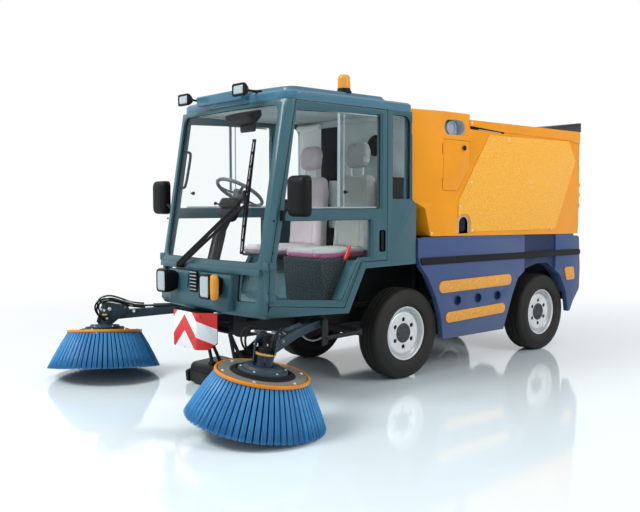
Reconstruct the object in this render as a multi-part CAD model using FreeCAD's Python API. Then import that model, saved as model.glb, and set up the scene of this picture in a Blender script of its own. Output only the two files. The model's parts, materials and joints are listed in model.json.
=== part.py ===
import FreeCAD, Part
import math
import os
from FreeCAD import Vector

# Compact road sweeper. It faces -Y, its left side is +X, +Z is up and the floor is at Z = 0.
# Lengths along the machine are measured from the front axle, rearwards, and the finished
# pieces are shifted by ORIGIN_SHIFT, so that the origin lies under the middle of the machine.
ORIGIN_SHIFT = -132.1

# Fits and gaps
SEAT = 0.3
PIN_PLAY = 0.05
PANEL_GAP = 6.0
SWING_GAP = 5.0

# Wheels
WHEELBASE = 1750.0
WHEEL_X = 515.0
TYRE_RADIUS = 334.0
TYRE_WIDTH = 205.0
TREAD_GROOVE = 8.0
RIM_RADIUS = 190.5
RIM_WIDTH = 152.0
RIM_WALL = 7.0
RIM_LIP = 8.5
RIM_DISC_X = 30.0
DISC_FACE_RADIUS = 147.0
DISC_WALL = 12.0
HUB_RADIUS = 74.0
HUB_LENGTH = 90.0
HUB_PROUD = 5.0
DISC_HOLES = 6
DISC_HOLE_RADIUS = 17.0
DISC_HOLE_CIRCLE = 101.0

# Axles
SPINDLE_RADIUS = 24.0
SPINDLE_LENGTH = 60.0
KINGPIN_OFFSET = 143.0
KINGPIN_RADIUS = 16.0
KNUCKLE_RADIUS = 34.0
KNUCKLE_HEIGHT = 150.0
AXLE_DEPTH = 90.0
AXLE_WIDTH = 80.0
DIFFERENTIAL_RADIUS = 105.0
SPRING_WIDTH = 40.0
SPRING_HEIGHT = 62.0

# Frame
RAIL_X = 205.0
RAIL_WIDTH = 50.0
RAIL_DEPTH = 100.0
CROSS_WIDTH = 60.0
PAD_LENGTH = 60.0
OUTRIGGER_WIDTH = 50.0
OUTRIGGER_DEPTH = 60.0

# Widths of the body
BODY_HALF_WIDTH = 650.0
CAB_TUCK = 10.0
HOPPER_FRONT_TAPER = 50.0

# Cab
CAB_REACH = 1315.0
CAB_REAR = 0.0
CAB_SKIN = 40.0
CAB_MOUNT_HEIGHT = 104.0
CAB_FLOOR_DEPTH = 35.0
CHIN_DROP = 32.0
KINK_RISE = 280.0
SCREEN_RISE = 1066.0
PILLAR_INSET = 40.0
PILLAR_FACE = 40.0
WHEEL_HEADROOM = 175.0
STEP_DEPTH = 44.0
DOOR_SILL = 55.0
REAR_POST = 256.0
DOOR_FRAME = 62.0
WAIST_RISE = 300.0
WAIST_BAND = 72.0
GLASS = 6.0
GLASS_INSET = 16.0
PANE_REBATE = 14.0
REBATE_DEPTH = 4.0
POD_HALF_WIDTH = 377.0
POD_PROUD = 50.0
KINK_BAR_PROUD = 20.0
KINK_BAR_HEIGHT = 40.0
HANDLE_WIDTH = 64.0
HANDLE_HEIGHT = 154.0
HANDLE_DEPTH = 22.0
ROOF_DEPTH = 95.0
GUTTER_DEPTH = 48.0
ROOF_EDGE = 14.0
VISOR_HALF_WIDTH = 262.0
VISOR_PROUD = 56.0

# Cab hinges
CAB_HINGE_PIN = 6.0
CAB_HINGE_RADIUS = 11.0
CAB_HINGE_OUT = 12.0
CAB_HINGE_BACK = 11.0
CAB_HINGE_RISES = (100.0, 300.0)
HINGE_LEAF = 5.0
HINGE_HALF_HEIGHT = 20.0

# Steering and seats
STEERING_X = -260.0
STEERING_BACK = 435.0
STEERING_RISE = 770.0
STEERING_RADIUS = 215.0
STEERING_RIM = 14.0
STEERING_TILT = 32.0
COLUMN_SHAFT = 12.0
COLUMN_RADIUS = 45.0
SEAT_X = 265.0
SEAT_WIDTH = 440.0

# Mirrors, lamps and wiper
MIRROR_WIDTH = 190.0
MIRROR_HEIGHT = 252.0
MIRROR_DEPTH = 75.0
HEADLAMP_X = 270.0
LENS_HALF_WIDTH = 60.0
LENS_HALF_HEIGHT = 90.0
INDICATOR_WIDTH = 32.0
ROOF_LAMP_X = 333.0
BEACON_X = 520.0
BEACON_Y = -560.0
BEACON_RADIUS = 46.0
WIPER_X = -270.0
WIPER_BLADE_X = 406.0

# Hopper
CAB_HOPPER_GAP = 20.0
REAR_OVERHANG = 492.0
HOPPER_LIFT = 550.0
HOPPER_DEPTH = 890.0
HOPPER_FLOOR_SLOPE = 29.0
HOPPER_WALL = 30.0
TOWER_LENGTH = 626.0
TOWER_RISE = 42.0
TOE_RISE = 275.0
TOE_FOLD_RISE = 209.0
TOE_FOLD_BACK = 118.0
TOE_SETBACK = 178.0
LID_BAND = 66.0
LID_PROUD = 7.0
PANEL_PROUD = 6.0
TIP_PIN_RADIUS = 14.0
TIP_PIN_INSET = 27.0
TIP_LUG_TUCK = 250.0
TIP_LUG_WIDTH = 36.0
HOPPER_DOOR_MARGIN = 130.0
HOPPER_DOOR_THICKNESS = 42.0
HOPPER_DOOR_SILL = 34.0
HOPPER_DOOR_HEAD = 56.0
HOPPER_HINGE_PIN = 5.0
HOPPER_HINGE_RADIUS = 12.0
HATCH_DEPTH = 25.0
HATCH_PIN = 3.0
HATCH_BARREL = 6.0
HATCH_HINGE_OUT = 3.0
HATCH_HINGE_LENGTH = 60.0
LOCKER_DEPTH = 160.0
TAIL_LAMP_RADIUS = 42.0
TAIL_LAMP_LENGTH = 60.0

# Side shells
SHELL_WALL = 45.0
SHELL_DROP = 10.0
SHELL_REAR_PROUD = 48.0
REAR_PANEL = 20.0
BELT_ABOVE_ARCH = 62.0
BELT_HEIGHT = 53.0
BELT_PROUD = 12.0
MARKER_PROUD = 8.0
RECESS_DEPTH = 14.0

# Suction nozzle and duct
NOZZLE_HALF_WIDTH = 330.0
NOZZLE_LENGTH = 313.0
NOZZLE_HEIGHT = 150.0
NOZZLE_GROUND_GAP = 35.0
NOZZLE_WALL = 18.0
DUCT_RADIUS = 80.0
LINK_X = 150.0
LINK_RADIUS = 12.0

# Brushes and their arms
BRUSH_OUT = 335.0
BRUSH_AHEAD = 300.0
BRUSH_Z = 339.0
BRUSH_DISC_RADIUS = 271.0
BRUSH_DISC_THICKNESS = 14.0
BRUSH_TIP_RADIUS = 409.0
BRUSH_HEIGHT = 274.0
BRUSH_PLEATS = 44
BRUSH_PLEAT_DEPTH = 9.0
BRUSH_TILT_OUT = 7.4
BRUSH_TILT_BACK = 5.4
BRUSH_SHAFT = 20.0
ARM_ROOT_TUCK = 150.0
ARM_ROOT_BACK = 528.0
ARM_ROOT_DROP = 16.0
ARM_WIDTH = 60.0
ARM_BOSS = 26.0
LIFT_PIN = 10.0
SWING_PIN = 12.0
SWING_BARREL = 28.0
SWING_HALF_HEIGHT = 40.0
SWING_OFFSET = 70.0
EAR = 12.0
PIN_SIDE_GAP = 1.0
MOTOR_RADIUS = 52.0
MOTOR_HEIGHT = 120.0
MOTOR_CAP_RADIUS = 28.0
MOTOR_CAP_HEIGHT = 70.0
HEAD_RADIUS = 145.0
HEAD_THICKNESS = 22.0
HEAD_GAP = 5.0
PIPE_RADIUS = 9.0

# Heights that follow from the sizes above
RAIL_BOTTOM = TYRE_RADIUS + SPRING_HEIGHT
RAIL_TOP = RAIL_BOTTOM + RAIL_DEPTH
CAB_FLOOR_TOP = RAIL_TOP + CAB_MOUNT_HEIGHT
CAB_FLOOR_BOTTOM = CAB_FLOOR_TOP - CAB_FLOOR_DEPTH
CAB_KINK = CAB_FLOOR_TOP + KINK_RISE
CAB_EAVES = CAB_KINK + SCREEN_RISE
ROOF_TOP = CAB_EAVES + ROOF_DEPTH
ARCH_TOP = 2 * TYRE_RADIUS + WHEEL_HEADROOM
CAB_STEP = ARCH_TOP + STEP_DEPTH
WAIST_BOTTOM = CAB_KINK + WAIST_RISE
WAIST_TOP = WAIST_BOTTOM + WAIST_BAND
STEERING_Z = CAB_FLOOR_TOP + STEERING_RISE
ARM_ROOT_Z = RAIL_TOP - ARM_ROOT_DROP
HOPPER_BOTTOM = RAIL_TOP + HOPPER_LIFT
HOPPER_TOP = HOPPER_BOTTOM + HOPPER_DEPTH
TOWER_TOP = HOPPER_TOP + TOWER_RISE
TIP_PIN_Z = HOPPER_BOTTOM - 1.0
SHELL_TOP = HOPPER_BOTTOM - SHELL_DROP
SHELL_TOP_REAR = SHELL_TOP - HOPPER_FLOOR_SLOPE - 9.0
ARCH_CROWN = 2.3144 * TYRE_RADIUS
BELT_BOTTOM = ARCH_CROWN + BELT_ABOVE_ARCH
BELT_TOP = BELT_BOTTOM + BELT_HEIGHT

# Stations along the machine and widths that follow from the sizes above
CAB_HALF_WIDTH = BODY_HALF_WIDTH - CAB_TUCK
CAB_INNER = CAB_HALF_WIDTH - CAB_SKIN
KINGPIN_X = WHEEL_X - KINGPIN_OFFSET
HUB_FACE = WHEEL_X + RIM_DISC_X - HUB_LENGTH
SILL_REAR = -TYRE_RADIUS - 288.0
SILL_REAR_Z = CAB_FLOOR_TOP - 54.0
ARCH_FRONT = -TYRE_RADIUS - 130.0
DOOR_REAR = CAB_REAR - REAR_POST
DOOR_BOTTOM = CAB_FLOOR_TOP + DOOR_SILL
DOOR_BOTTOM_REAR = SILL_REAR_Z + 44.0
DOOR_LOW_Y = SILL_REAR - 46.0
DOOR_STEP_Y = ARCH_FRONT - 41.0
CAB_HINGE_X = CAB_HALF_WIDTH + CAB_HINGE_OUT
CAB_HINGE_Y = CAB_HINGE_BACK - CAB_REACH
STEERING_Y = STEERING_BACK - CAB_REACH
HOPPER_FRONT = CAB_REAR + CAB_HOPPER_GAP
HOPPER_REAR = WHEELBASE + REAR_OVERHANG
TOWER_REAR = HOPPER_FRONT + TOWER_LENGTH
TOE_BACK = HOPPER_FRONT + TOE_SETBACK
TIP_PIN_Y = HOPPER_REAR - TIP_PIN_INSET
HOPPER_DOOR_HALF = BODY_HALF_WIDTH - HOPPER_DOOR_MARGIN
HOPPER_DOOR_BOTTOM = HOPPER_BOTTOM + HOPPER_DOOR_SILL
HOPPER_DOOR_TOP = HOPPER_TOP - HOPPER_DOOR_HEAD
HOPPER_HINGE_Y = HOPPER_REAR - 17.0
HOPPER_HINGE_Z = HOPPER_DOOR_TOP + 18.0
HATCH_FRONT = HOPPER_FRONT + 318.0
HATCH_HINGE_X = BODY_HALF_WIDTH + HATCH_HINGE_OUT
HATCH_HINGE_Y = HATCH_FRONT - HATCH_BARREL
HATCH_LOW = HOPPER_TOP - 552.0
HATCH_HIGH = HOPPER_TOP - 161.0
SHELL_FRONT = HOPPER_FRONT + 46.0
SHELL_REAR = HOPPER_REAR + SHELL_REAR_PROUD
RAIL_FRONT = 25.0 - CAB_REACH
RAIL_REAR = HOPPER_REAR - 92.0
NOZZLE_FRONT = RAIL_FRONT + 17.0
BOARD_FRONT = -CAB_REACH - 205.0
BRUSH_X = BODY_HALF_WIDTH + BRUSH_OUT
BRUSH_Y = -CAB_REACH - BRUSH_AHEAD
ARM_ROOT_X = BODY_HALF_WIDTH - ARM_ROOT_TUCK
ARM_ROOT_Y = ARM_ROOT_BACK - CAB_REACH
TIP_LUG_X = BODY_HALF_WIDTH - TIP_LUG_TUCK

NODES = {}


# Outlines: points are (a, b) or (a, b, r), where r rounds that corner.
def bend(before, corner, after, radius):
    """Start, middle and end of the arc that rounds a corner."""
    back = (before - corner).normalize()
    ahead = (after - corner).normalize()
    half = back.getAngle(ahead) / 2
    reach = radius / math.tan(half)
    middle = corner + (back + ahead).normalize() * (radius / math.sin(half) - radius)
    return corner + back * reach, middle, corner + ahead * reach


def outline(points, place):
    corners = [Vector(p[0], p[1], 0) for p in points]
    count = len(points)
    bends = []
    for i in range(count):
        if len(points[i]) > 2 and points[i][2] > 0:
            bends.append(bend(corners[i - 1], corners[i], corners[(i + 1) % count], points[i][2]))
        else:
            bends.append((corners[i], corners[i], corners[i]))
    edges = []
    for i in range(count):
        start, middle, end = bends[i]
        if (end - start).Length > 1e-6:
            edges.append(Part.Arc(place(start), place(middle), place(end)).toShape())
        following = bends[(i + 1) % count][0]
        if (following - end).Length > 1e-6:
            edges.append(Part.LineSegment(place(end), place(following)).toShape())
    return Part.Wire(edges)


def route(points, place):
    """Open path of straight runs joined by tangent arcs; each inner point is (a, b, r)."""
    corners = [Vector(p[0], p[1], 0) for p in points]
    edges = []
    at = corners[0]
    for i in range(1, len(points) - 1):
        start, middle, end = bend(corners[i - 1], corners[i], corners[i + 1], points[i][2])
        edges.append(Part.LineSegment(place(at), place(start)).toShape())
        edges.append(Part.Arc(place(start), place(middle), place(end)).toShape())
        at = end
    edges.append(Part.LineSegment(place(at), place(corners[-1])).toShape())
    return Part.Wire(edges)


def tube(path, radius):
    """Round bar that follows a wire."""
    start = path.Edges[0].valueAt(path.Edges[0].FirstParameter)
    heading = path.Edges[0].tangentAt(path.Edges[0].FirstParameter)
    circle = Part.Wire(Part.makeCircle(radius, start, heading))
    return path.makePipeShell([circle], True, True)


def side_prism(points, x0, x1):
    wire = outline(points, lambda p: Vector(x0, p.x, p.y))
    return Part.Face(wire).extrude(Vector(x1 - x0, 0, 0))


def front_prism(points, y0, y1):
    wire = outline(points, lambda p: Vector(p.x, y0, p.y))
    return Part.Face(wire).extrude(Vector(0, y1 - y0, 0))


def plan_prism(points, z0, z1):
    wire = outline(points, lambda p: Vector(p.x, p.y, z0))
    return Part.Face(wire).extrude(Vector(0, 0, z1 - z0))


def lofted(wires):
    """Solid drawn straight through closed wires, with its faces outwards."""
    solid = Part.makeLoft(wires, True, True)
    if solid.Volume < 0:
        solid.reverse()
    return solid


def plan_taper(low, z0, high, z1):
    """Solid between two plan outlines with the same number of corners."""
    return lofted([outline(low, lambda p: Vector(p.x, p.y, z0)), outline(high, lambda p: Vector(p.x, p.y, z1))])


def front_taper(near, y0, far, y1):
    """Solid between two outlines seen from the front, with the same number of corners."""
    return lofted([outline(near, lambda p: Vector(p.x, y0, p.y)), outline(far, lambda p: Vector(p.x, y1, p.y))])


def rounded_box(x, z, half_width, half_height, corner):
    return [(x - half_width, z - half_height, corner), (x + half_width, z - half_height, corner),
            (x + half_width, z + half_height, corner), (x - half_width, z + half_height, corner)]


def block(x0, x1, y0, y1, z0, z1):
    return Part.makeBox(abs(x1 - x0), y1 - y0, z1 - z0, Vector(min(x0, x1), y0, z0))


def rod(start, end, radius):
    line = end - start
    return Part.makeCylinder(radius, line.Length, start, line)


def turned(profile, base, axis):
    """Solid of revolution; the profile's points are (distance along the axis, radius)."""
    wire = outline(profile, lambda p: Vector(p.y, 0, p.x))
    solid = Part.Face(wire).revolve(Vector(0, 0, 0), Vector(0, 0, 1), 360)
    turn = FreeCAD.Rotation(Vector(0, 0, 1), axis)
    solid.Placement = FreeCAD.Placement(base, turn)
    return solid


def mirrored(shape):
    return shape.mirror(Vector(0, 0, 0), Vector(1, 0, 0))


def both_sides(shape):
    return Part.Compound([shape, mirrored(shape)])


def fused(first, *others):
    return first.fuse(list(others)).removeSplitter()


def line_z(y, y0, z0, y1, z1):
    return z0 + (z1 - z0) * (y - y0) / (y1 - y0)


# Cab nose: plan sections at the sill, at the kink below the windscreen and at the eaves.
# Each is height, rear edge of the side, front of the side, front at the pillar, front in the middle.
def nose_section(height, lean, side, pillar, middle):
    edge = lean - CAB_REACH
    return height, edge, edge - side, edge - pillar, edge - middle


NOSE_SECTIONS = [
    nose_section(CAB_FLOOR_TOP, 0.0, 10.0, 30.0, 85.0),
    nose_section(CAB_KINK, 17.0, 10.0, 29.0, 70.0),
    nose_section(CAB_EAVES, 230.0, 25.0, 62.0, 105.0),
]


def nose_at(z):
    lower, upper = NOSE_SECTIONS[0], NOSE_SECTIONS[1]
    if z > CAB_KINK:
        lower, upper = NOSE_SECTIONS[1], NOSE_SECTIONS[2]
    share = (z - lower[0]) / (upper[0] - lower[0])
    return [z] + [a + (b - a) * share for a, b in zip(lower[1:], upper[1:])]


def nose_wire(z, inset, back_extra, drop=0.0):
    height, back, side, front, middle = nose_at(z)
    height = height - drop
    half = CAB_HALF_WIDTH - inset
    corner = half - PILLAR_INSET
    back = back + back_extra
    side = side + inset * 0.4
    points = [
        Vector(half, back, height),
        Vector(half, side, height),
        Vector(corner, front + inset, height),
        Vector(0, middle + inset, height),
        Vector(-corner, front + inset, height),
        Vector(-half, side, height),
        Vector(-half, back, height),
    ]
    edges = [
        Part.LineSegment(points[0], points[1]).toShape(),
        Part.LineSegment(points[1], points[2]).toShape(),
        Part.Arc(points[2], points[3], points[4]).toShape(),
        Part.LineSegment(points[4], points[5]).toShape(),
        Part.LineSegment(points[5], points[6]).toShape(),
        Part.LineSegment(points[6], points[0]).toShape(),
    ]
    return Part.Wire(edges)


def nose_front(x, z, inset=0.0):
    """How far forward the curved cab front reaches at x, at height z, that far inside its face."""
    front, middle = nose_at(z)[3], nose_at(z)[4]
    corner = CAB_HALF_WIDTH - inset - PILLAR_INSET
    rise = front - middle
    radius = (corner ** 2 + rise ** 2) / (2 * rise)
    return middle + inset + radius - math.sqrt(radius ** 2 - x ** 2)


def nose_solid(z0, z1, inset, back_extra=0.0):
    return lofted([nose_wire(z0, inset, back_extra), nose_wire(z1, inset, back_extra)])


def nose_sheet(z0, z1, inset, thickness):
    """Part of a sheet that follows the curved front, that far inside its outer face."""
    return nose_solid(z0, z1, inset).cut(nose_solid(z0, z1, inset + thickness, 60))


# Front windows, as (x, z) outlines seen from the front
PANE_HALF = CAB_HALF_WIDTH - PILLAR_INSET - PILLAR_FACE
WINDSCREEN = [(-PANE_HALF, CAB_KINK + 35, 45), (PANE_HALF, CAB_KINK + 35, 45),
              (PANE_HALF, CAB_EAVES - 31, 60), (-PANE_HALF, CAB_EAVES - 31, 60)]
FRONT_PANE = [(POD_HALF_WIDTH, CAB_FLOOR_TOP + 65, 12), (PANE_HALF + 10, CAB_FLOOR_TOP + 65, 25),
              (PANE_HALF + 10, CAB_KINK - 42, 20), (POD_HALF_WIDTH, CAB_KINK - 42, 12)]


# Side windows, as (y, z) outlines
def door_front(z):
    return nose_at(z)[1] + PANEL_GAP


UPPER_PANE = [(door_front(WAIST_TOP) + 38, WAIST_TOP, 12), (door_front(CAB_EAVES - 66) + 17, CAB_EAVES - 66, 14),
              (DOOR_REAR - DOOR_FRAME, CAB_EAVES - 41, 14), (DOOR_REAR - DOOR_FRAME, WAIST_TOP, 14)]
LOWER_PANE = [(door_front(DOOR_BOTTOM + 35) + 48, DOOR_BOTTOM + 35, 20),
              (door_front(CAB_KINK + 25) + 42, CAB_KINK + 25, 60),
              (door_front(WAIST_BOTTOM) + 40, WAIST_BOTTOM, 14), (DOOR_REAR - 152, WAIST_BOTTOM, 14),
              (DOOR_REAR - 152, CAB_STEP + 32, 12), (DOOR_STEP_Y - 3, CAB_STEP + 32, 30),
              (DOOR_LOW_Y - 4, DOOR_BOTTOM_REAR + 46, 25)]
QUARTER_PANE = [(CAB_REAR - 196, WAIST_TOP + 70, 12), (CAB_REAR - 196, CAB_EAVES - 31, 12),
                (CAB_REAR - 12, CAB_EAVES - 31, 60), (CAB_REAR - 12, WAIST_TOP + 70, 12)]
REAR_PANE = [(130 - CAB_INNER, WAIST_TOP + 80, 30), (CAB_INNER - 130, WAIST_TOP + 80, 30),
             (CAB_INNER - 130, CAB_EAVES - 56, 30), (130 - CAB_INNER, CAB_EAVES - 56, 30)]


def window(frame, pane, depth):
    """Cut a side window and the shallow rebate round it into a side panel."""
    outer = CAB_HALF_WIDTH
    wire = outline(pane, lambda p: Vector(outer + 1, p.x, p.y))
    grown = wire.makeOffset2D(PANE_REBATE)
    rebate = Part.Face(grown).extrude(Vector(-REBATE_DEPTH - 1, 0, 0))
    return frame.cut(side_prism(pane, outer - depth, outer + 10)).cut(rebate)


# Cab
def cab_front():
    """Curved front with its pillars, the bar at the kink, the pod between the lower panes, hinge ears."""
    lower = nose_sheet(CAB_FLOOR_TOP, CAB_KINK, 0, CAB_SKIN)
    upper = nose_sheet(CAB_KINK, CAB_EAVES, 0, CAB_SKIN)
    reach = CAB_REACH + 300
    shell = lower.fuse(upper).cut(front_prism(WINDSCREEN, -reach, -reach + 700))
    shell = shell.cut(both_sides(front_prism(FRONT_PANE, -reach, -reach + 500)))
    bar_low = CAB_KINK - KINK_BAR_HEIGHT
    bar = nose_solid(bar_low, CAB_KINK, -KINK_BAR_PROUD).cut(nose_solid(bar_low, CAB_KINK, 20, 100))
    bar = bar.common(block(-CAB_INNER, CAB_INNER, -reach, -CAB_REACH + 200, bar_low - 10, CAB_KINK + 10))
    pod_top = bar_low - 8
    pod = nose_solid(CAB_FLOOR_TOP, CAB_KINK, -POD_PROUD).cut(nose_solid(CAB_FLOOR_TOP, CAB_KINK, 20, 100))
    half = POD_HALF_WIDTH
    back = CAB_REACH - 100
    limits = plan_prism([(-half, -back), (-half, -reach + 178, 45), (half, -reach + 178, 45), (half, -back)],
                        CAB_FLOOR_TOP, pod_top)
    pod = pod.common(limits)
    for x in (-95, -45, 45, 95):
        slot = front_prism(rounded_box(x, CAB_FLOOR_TOP + 165, 9, 48, 8), -reach, nose_front(x, CAB_KINK) - 22)
        pod = pod.cut(slot)
    shell = fused(shell, bar, pod)
    for rise in CAB_HINGE_RISES:
        ear = hinge_ear(CAB_FLOOR_TOP + rise)
        shell = shell.fuse(ear).fuse(mirrored(ear))
    return shell.removeSplitter()


def hinge_ear(z):
    """Pair of leaves on the cab's corner with the pin between them."""
    face = CAB_HALF_WIDTH
    height = HINGE_HALF_HEIGHT + HINGE_LEAF + 1
    front = CAB_HINGE_Y - 20
    low, high = z - height, z + height
    ear = block(face - 38, CAB_HINGE_X + 5, front, front + 6, low, high)
    for level in (low, high - HINGE_LEAF):
        leaf = block(face + 1, CAB_HINGE_X, front, CAB_HINGE_Y, level, level + HINGE_LEAF)
        eye = Part.makeCylinder(CAB_HINGE_RADIUS, HINGE_LEAF, Vector(CAB_HINGE_X, CAB_HINGE_Y, level))
        ear = ear.fuse(leaf).fuse(eye)
    return ear.fuse(Part.makeCylinder(CAB_HINGE_PIN, 2 * height, Vector(CAB_HINGE_X, CAB_HINGE_Y, low)))


def cab_glass():
    """Curved windscreen, the two lower front panes, the quarter panes and the rear window."""
    reach = CAB_REACH + 300
    screen = nose_sheet(CAB_KINK, CAB_EAVES, GLASS_INSET, GLASS)
    panes = [screen.common(front_prism(WINDSCREEN, -reach, -reach + 700))]
    low_sheet = nose_sheet(CAB_FLOOR_TOP, CAB_KINK, GLASS_INSET, GLASS)
    low = low_sheet.common(front_prism(FRONT_PANE, -reach, -reach + 500))
    panes += [low, mirrored(low)]
    out = CAB_HALF_WIDTH - GLASS_INSET
    quarter = side_prism(QUARTER_PANE, out - GLASS, out)
    panes += [quarter, mirrored(quarter)]
    panes.append(front_prism(REAR_PANE, CAB_REAR - GLASS_INSET - GLASS, CAB_REAR - GLASS_INSET))
    return Part.Compound(panes)


def cab_floor():
    """Floor pan, the step over the front wheels, the curved chin and the two sills."""
    inner = CAB_INNER
    top = CAB_FLOOR_TOP - SEAT
    back = HOPPER_FRONT + 30
    pan = [(-CAB_REACH, CAB_FLOOR_BOTTOM), (SILL_REAR, SILL_REAR_Z), (ARCH_FRONT, ARCH_TOP), (back, ARCH_TOP + 6),
           (back, CAB_STEP), (ARCH_FRONT - 22, CAB_STEP), (SILL_REAR - 22, top), (-CAB_REACH, top)]
    plate = side_prism(pan, -inner, inner)
    wires = [nose_wire(CAB_FLOOR_TOP, 0, 30, SEAT), nose_wire(CAB_FLOOR_TOP, 26, 30, CHIN_DROP)]
    chin = lofted(wires)
    sill = [(-CAB_REACH, CAB_FLOOR_TOP - 20, 6), (SILL_REAR, SILL_REAR_Z, 12), (ARCH_FRONT, ARCH_TOP, 20),
            (back, ARCH_TOP + 6), (back, CAB_STEP), (DOOR_STEP_Y + PANEL_GAP, CAB_STEP),
            (DOOR_LOW_Y + PANEL_GAP, DOOR_BOTTOM_REAR - PANEL_GAP),
            (-CAB_REACH + 25, DOOR_BOTTOM - PANEL_GAP - 2), (-CAB_REACH, top)]
    sills = both_sides(side_prism(sill, inner, CAB_HALF_WIDTH))
    return fused(plate, chin, *sills.Solids)


def cab_rear():
    """Rear wall with its window, the two side posts and the air box behind the quarter pane."""
    back = HOPPER_FRONT + 30
    post = [(DOOR_REAR + PANEL_GAP, CAB_STEP + SEAT), (back, CAB_STEP + SEAT), (back, WAIST_TOP + 38, 20),
            (CAB_REAR + 8, WAIST_TOP + 62, 20), (CAB_REAR, CAB_EAVES), (DOOR_REAR + PANEL_GAP, CAB_EAVES)]
    side = window(side_prism(post, CAB_INNER, CAB_HALF_WIDTH), QUARTER_PANE, 2 * CAB_SKIN)
    wall = block(-CAB_INNER, CAB_INNER, CAB_REAR - CAB_SKIN, CAB_REAR, CAB_STEP + SEAT, CAB_EAVES)
    wall = wall.cut(front_prism(REAR_PANE, CAB_REAR - 2 * CAB_SKIN, CAB_REAR + 10))
    box = block(CAB_INNER - 110, CAB_INNER - 1, CAB_REAR - 170, CAB_REAR - CAB_SKIN, WAIST_TOP + 10, WAIST_TOP + 225)
    return fused(wall, side, mirrored(side), box)


def roof_plan(inset, front_round):
    """Plan outline of the roof, drawn in by the inset."""
    half = CAB_HALF_WIDTH - inset
    front = nose_at(CAB_EAVES)[3]
    return [(half, CAB_REAR + 10 - inset, 40), (half, front + 62 + inset / 2, front_round),
            (half - 90, front - 4 + inset, 120), (0, front - 62 + inset, 900),
            (90 - half, front - 4 + inset, 120), (-half, front + 62 + inset / 2, front_round),
            (-half, CAB_REAR + 10 - inset, 40)]


def cab_roof():
    """Gutter rim, rounded crown, the raised middle and the visor between the roof lamps."""
    base = CAB_EAVES + SEAT
    rim_top = CAB_EAVES + GUTTER_DEPTH
    rim = plan_prism(roof_plan(0, 60), base, rim_top)
    crown = plan_taper(roof_plan(0, 60), rim_top, roof_plan(ROOF_EDGE, 60), rim_top + ROOF_EDGE)
    raised_low, raised_high = roof_plan(60, 60), roof_plan(76, 60)
    for plan in (raised_low, raised_high):
        shift = CAB_REAR - 160 if plan is raised_low else CAB_REAR - 215
        plan[0] = (plan[0][0], shift, 40)
        plan[-1] = (plan[-1][0], shift, 40)
    raised = plan_taper(raised_low, rim_top, raised_high, ROOF_TOP)
    front = nose_at(CAB_EAVES)[4]
    visor = side_prism([(front + 80, base + 20), (front - VISOR_PROUD + 8, base + 22, 8),
                        (front - VISOR_PROUD, ROOF_TOP - 8, 14), (front + 110, ROOF_TOP)],
                       -VISOR_HALF_WIDTH, VISOR_HALF_WIDTH)
    return fused(rim, crown, raised, visor)


def door_frame():
    """Door with its two windows, the sunk handle and the hinge barrels at its front edge."""
    top_z = CAB_EAVES - PANEL_GAP
    points = [(door_front(DOOR_BOTTOM), DOOR_BOTTOM, 10), (door_front(CAB_KINK), CAB_KINK, 60),
              (door_front(top_z), top_z, 10), (DOOR_REAR, top_z, 10), (DOOR_REAR, CAB_STEP + PANEL_GAP, 6),
              (DOOR_STEP_Y, CAB_STEP + PANEL_GAP, 10), (DOOR_LOW_Y, DOOR_BOTTOM_REAR, 10)]
    frame = side_prism(points, CAB_INNER, CAB_HALF_WIDTH)
    for pane in (UPPER_PANE, LOWER_PANE):
        frame = window(frame, pane, 2 * CAB_SKIN)
    handle_y = DOOR_REAR - DOOR_FRAME / 2 - 13
    handle_z = WAIST_BOTTOM - 152
    recess = rounded_box(handle_y, handle_z, HANDLE_WIDTH / 2, HANDLE_HEIGHT / 2, 16)
    frame = frame.cut(side_prism(recess, CAB_HALF_WIDTH - HANDLE_DEPTH, CAB_HALF_WIDTH + 5))
    grip = rounded_box(handle_y + 6, handle_z, 11, HANDLE_HEIGHT / 2 - 6, 10)
    frame = frame.fuse(side_prism(grip, CAB_HALF_WIDTH - HANDLE_DEPTH - 1, CAB_HALF_WIDTH - 4))
    for rise in CAB_HINGE_RISES:
        frame = hinge_barrel(frame, CAB_FLOOR_TOP + rise)
    return frame.removeSplitter()


def hinge_barrel(frame, z):
    """Add a bored barrel and its web to the door, between the leaves of the hinge ear."""
    face = CAB_HALF_WIDTH
    low = z - HINGE_HALF_HEIGHT
    height = 2 * HINGE_HALF_HEIGHT
    behind = CAB_HINGE_Y + 45
    barrel = Part.makeCylinder(CAB_HINGE_RADIUS, height, Vector(CAB_HINGE_X, CAB_HINGE_Y, low))
    web = block(face + 1, CAB_HINGE_X + 6, CAB_HINGE_Y, behind, low, low + height)
    foot = block(face - 2, face + 2, door_front(z + HINGE_HALF_HEIGHT), behind, low, low + height)
    bore = Part.makeCylinder(CAB_HINGE_PIN + PIN_PLAY, 2 * height, Vector(CAB_HINGE_X, CAB_HINGE_Y, low - height / 2))
    return frame.fuse(barrel.fuse(web).fuse(foot)).cut(bore)


def door_glass():
    out = CAB_HALF_WIDTH - GLASS_INSET
    return Part.Compound([side_prism(pane, out - GLASS, out) for pane in (UPPER_PANE, LOWER_PANE)])


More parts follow.
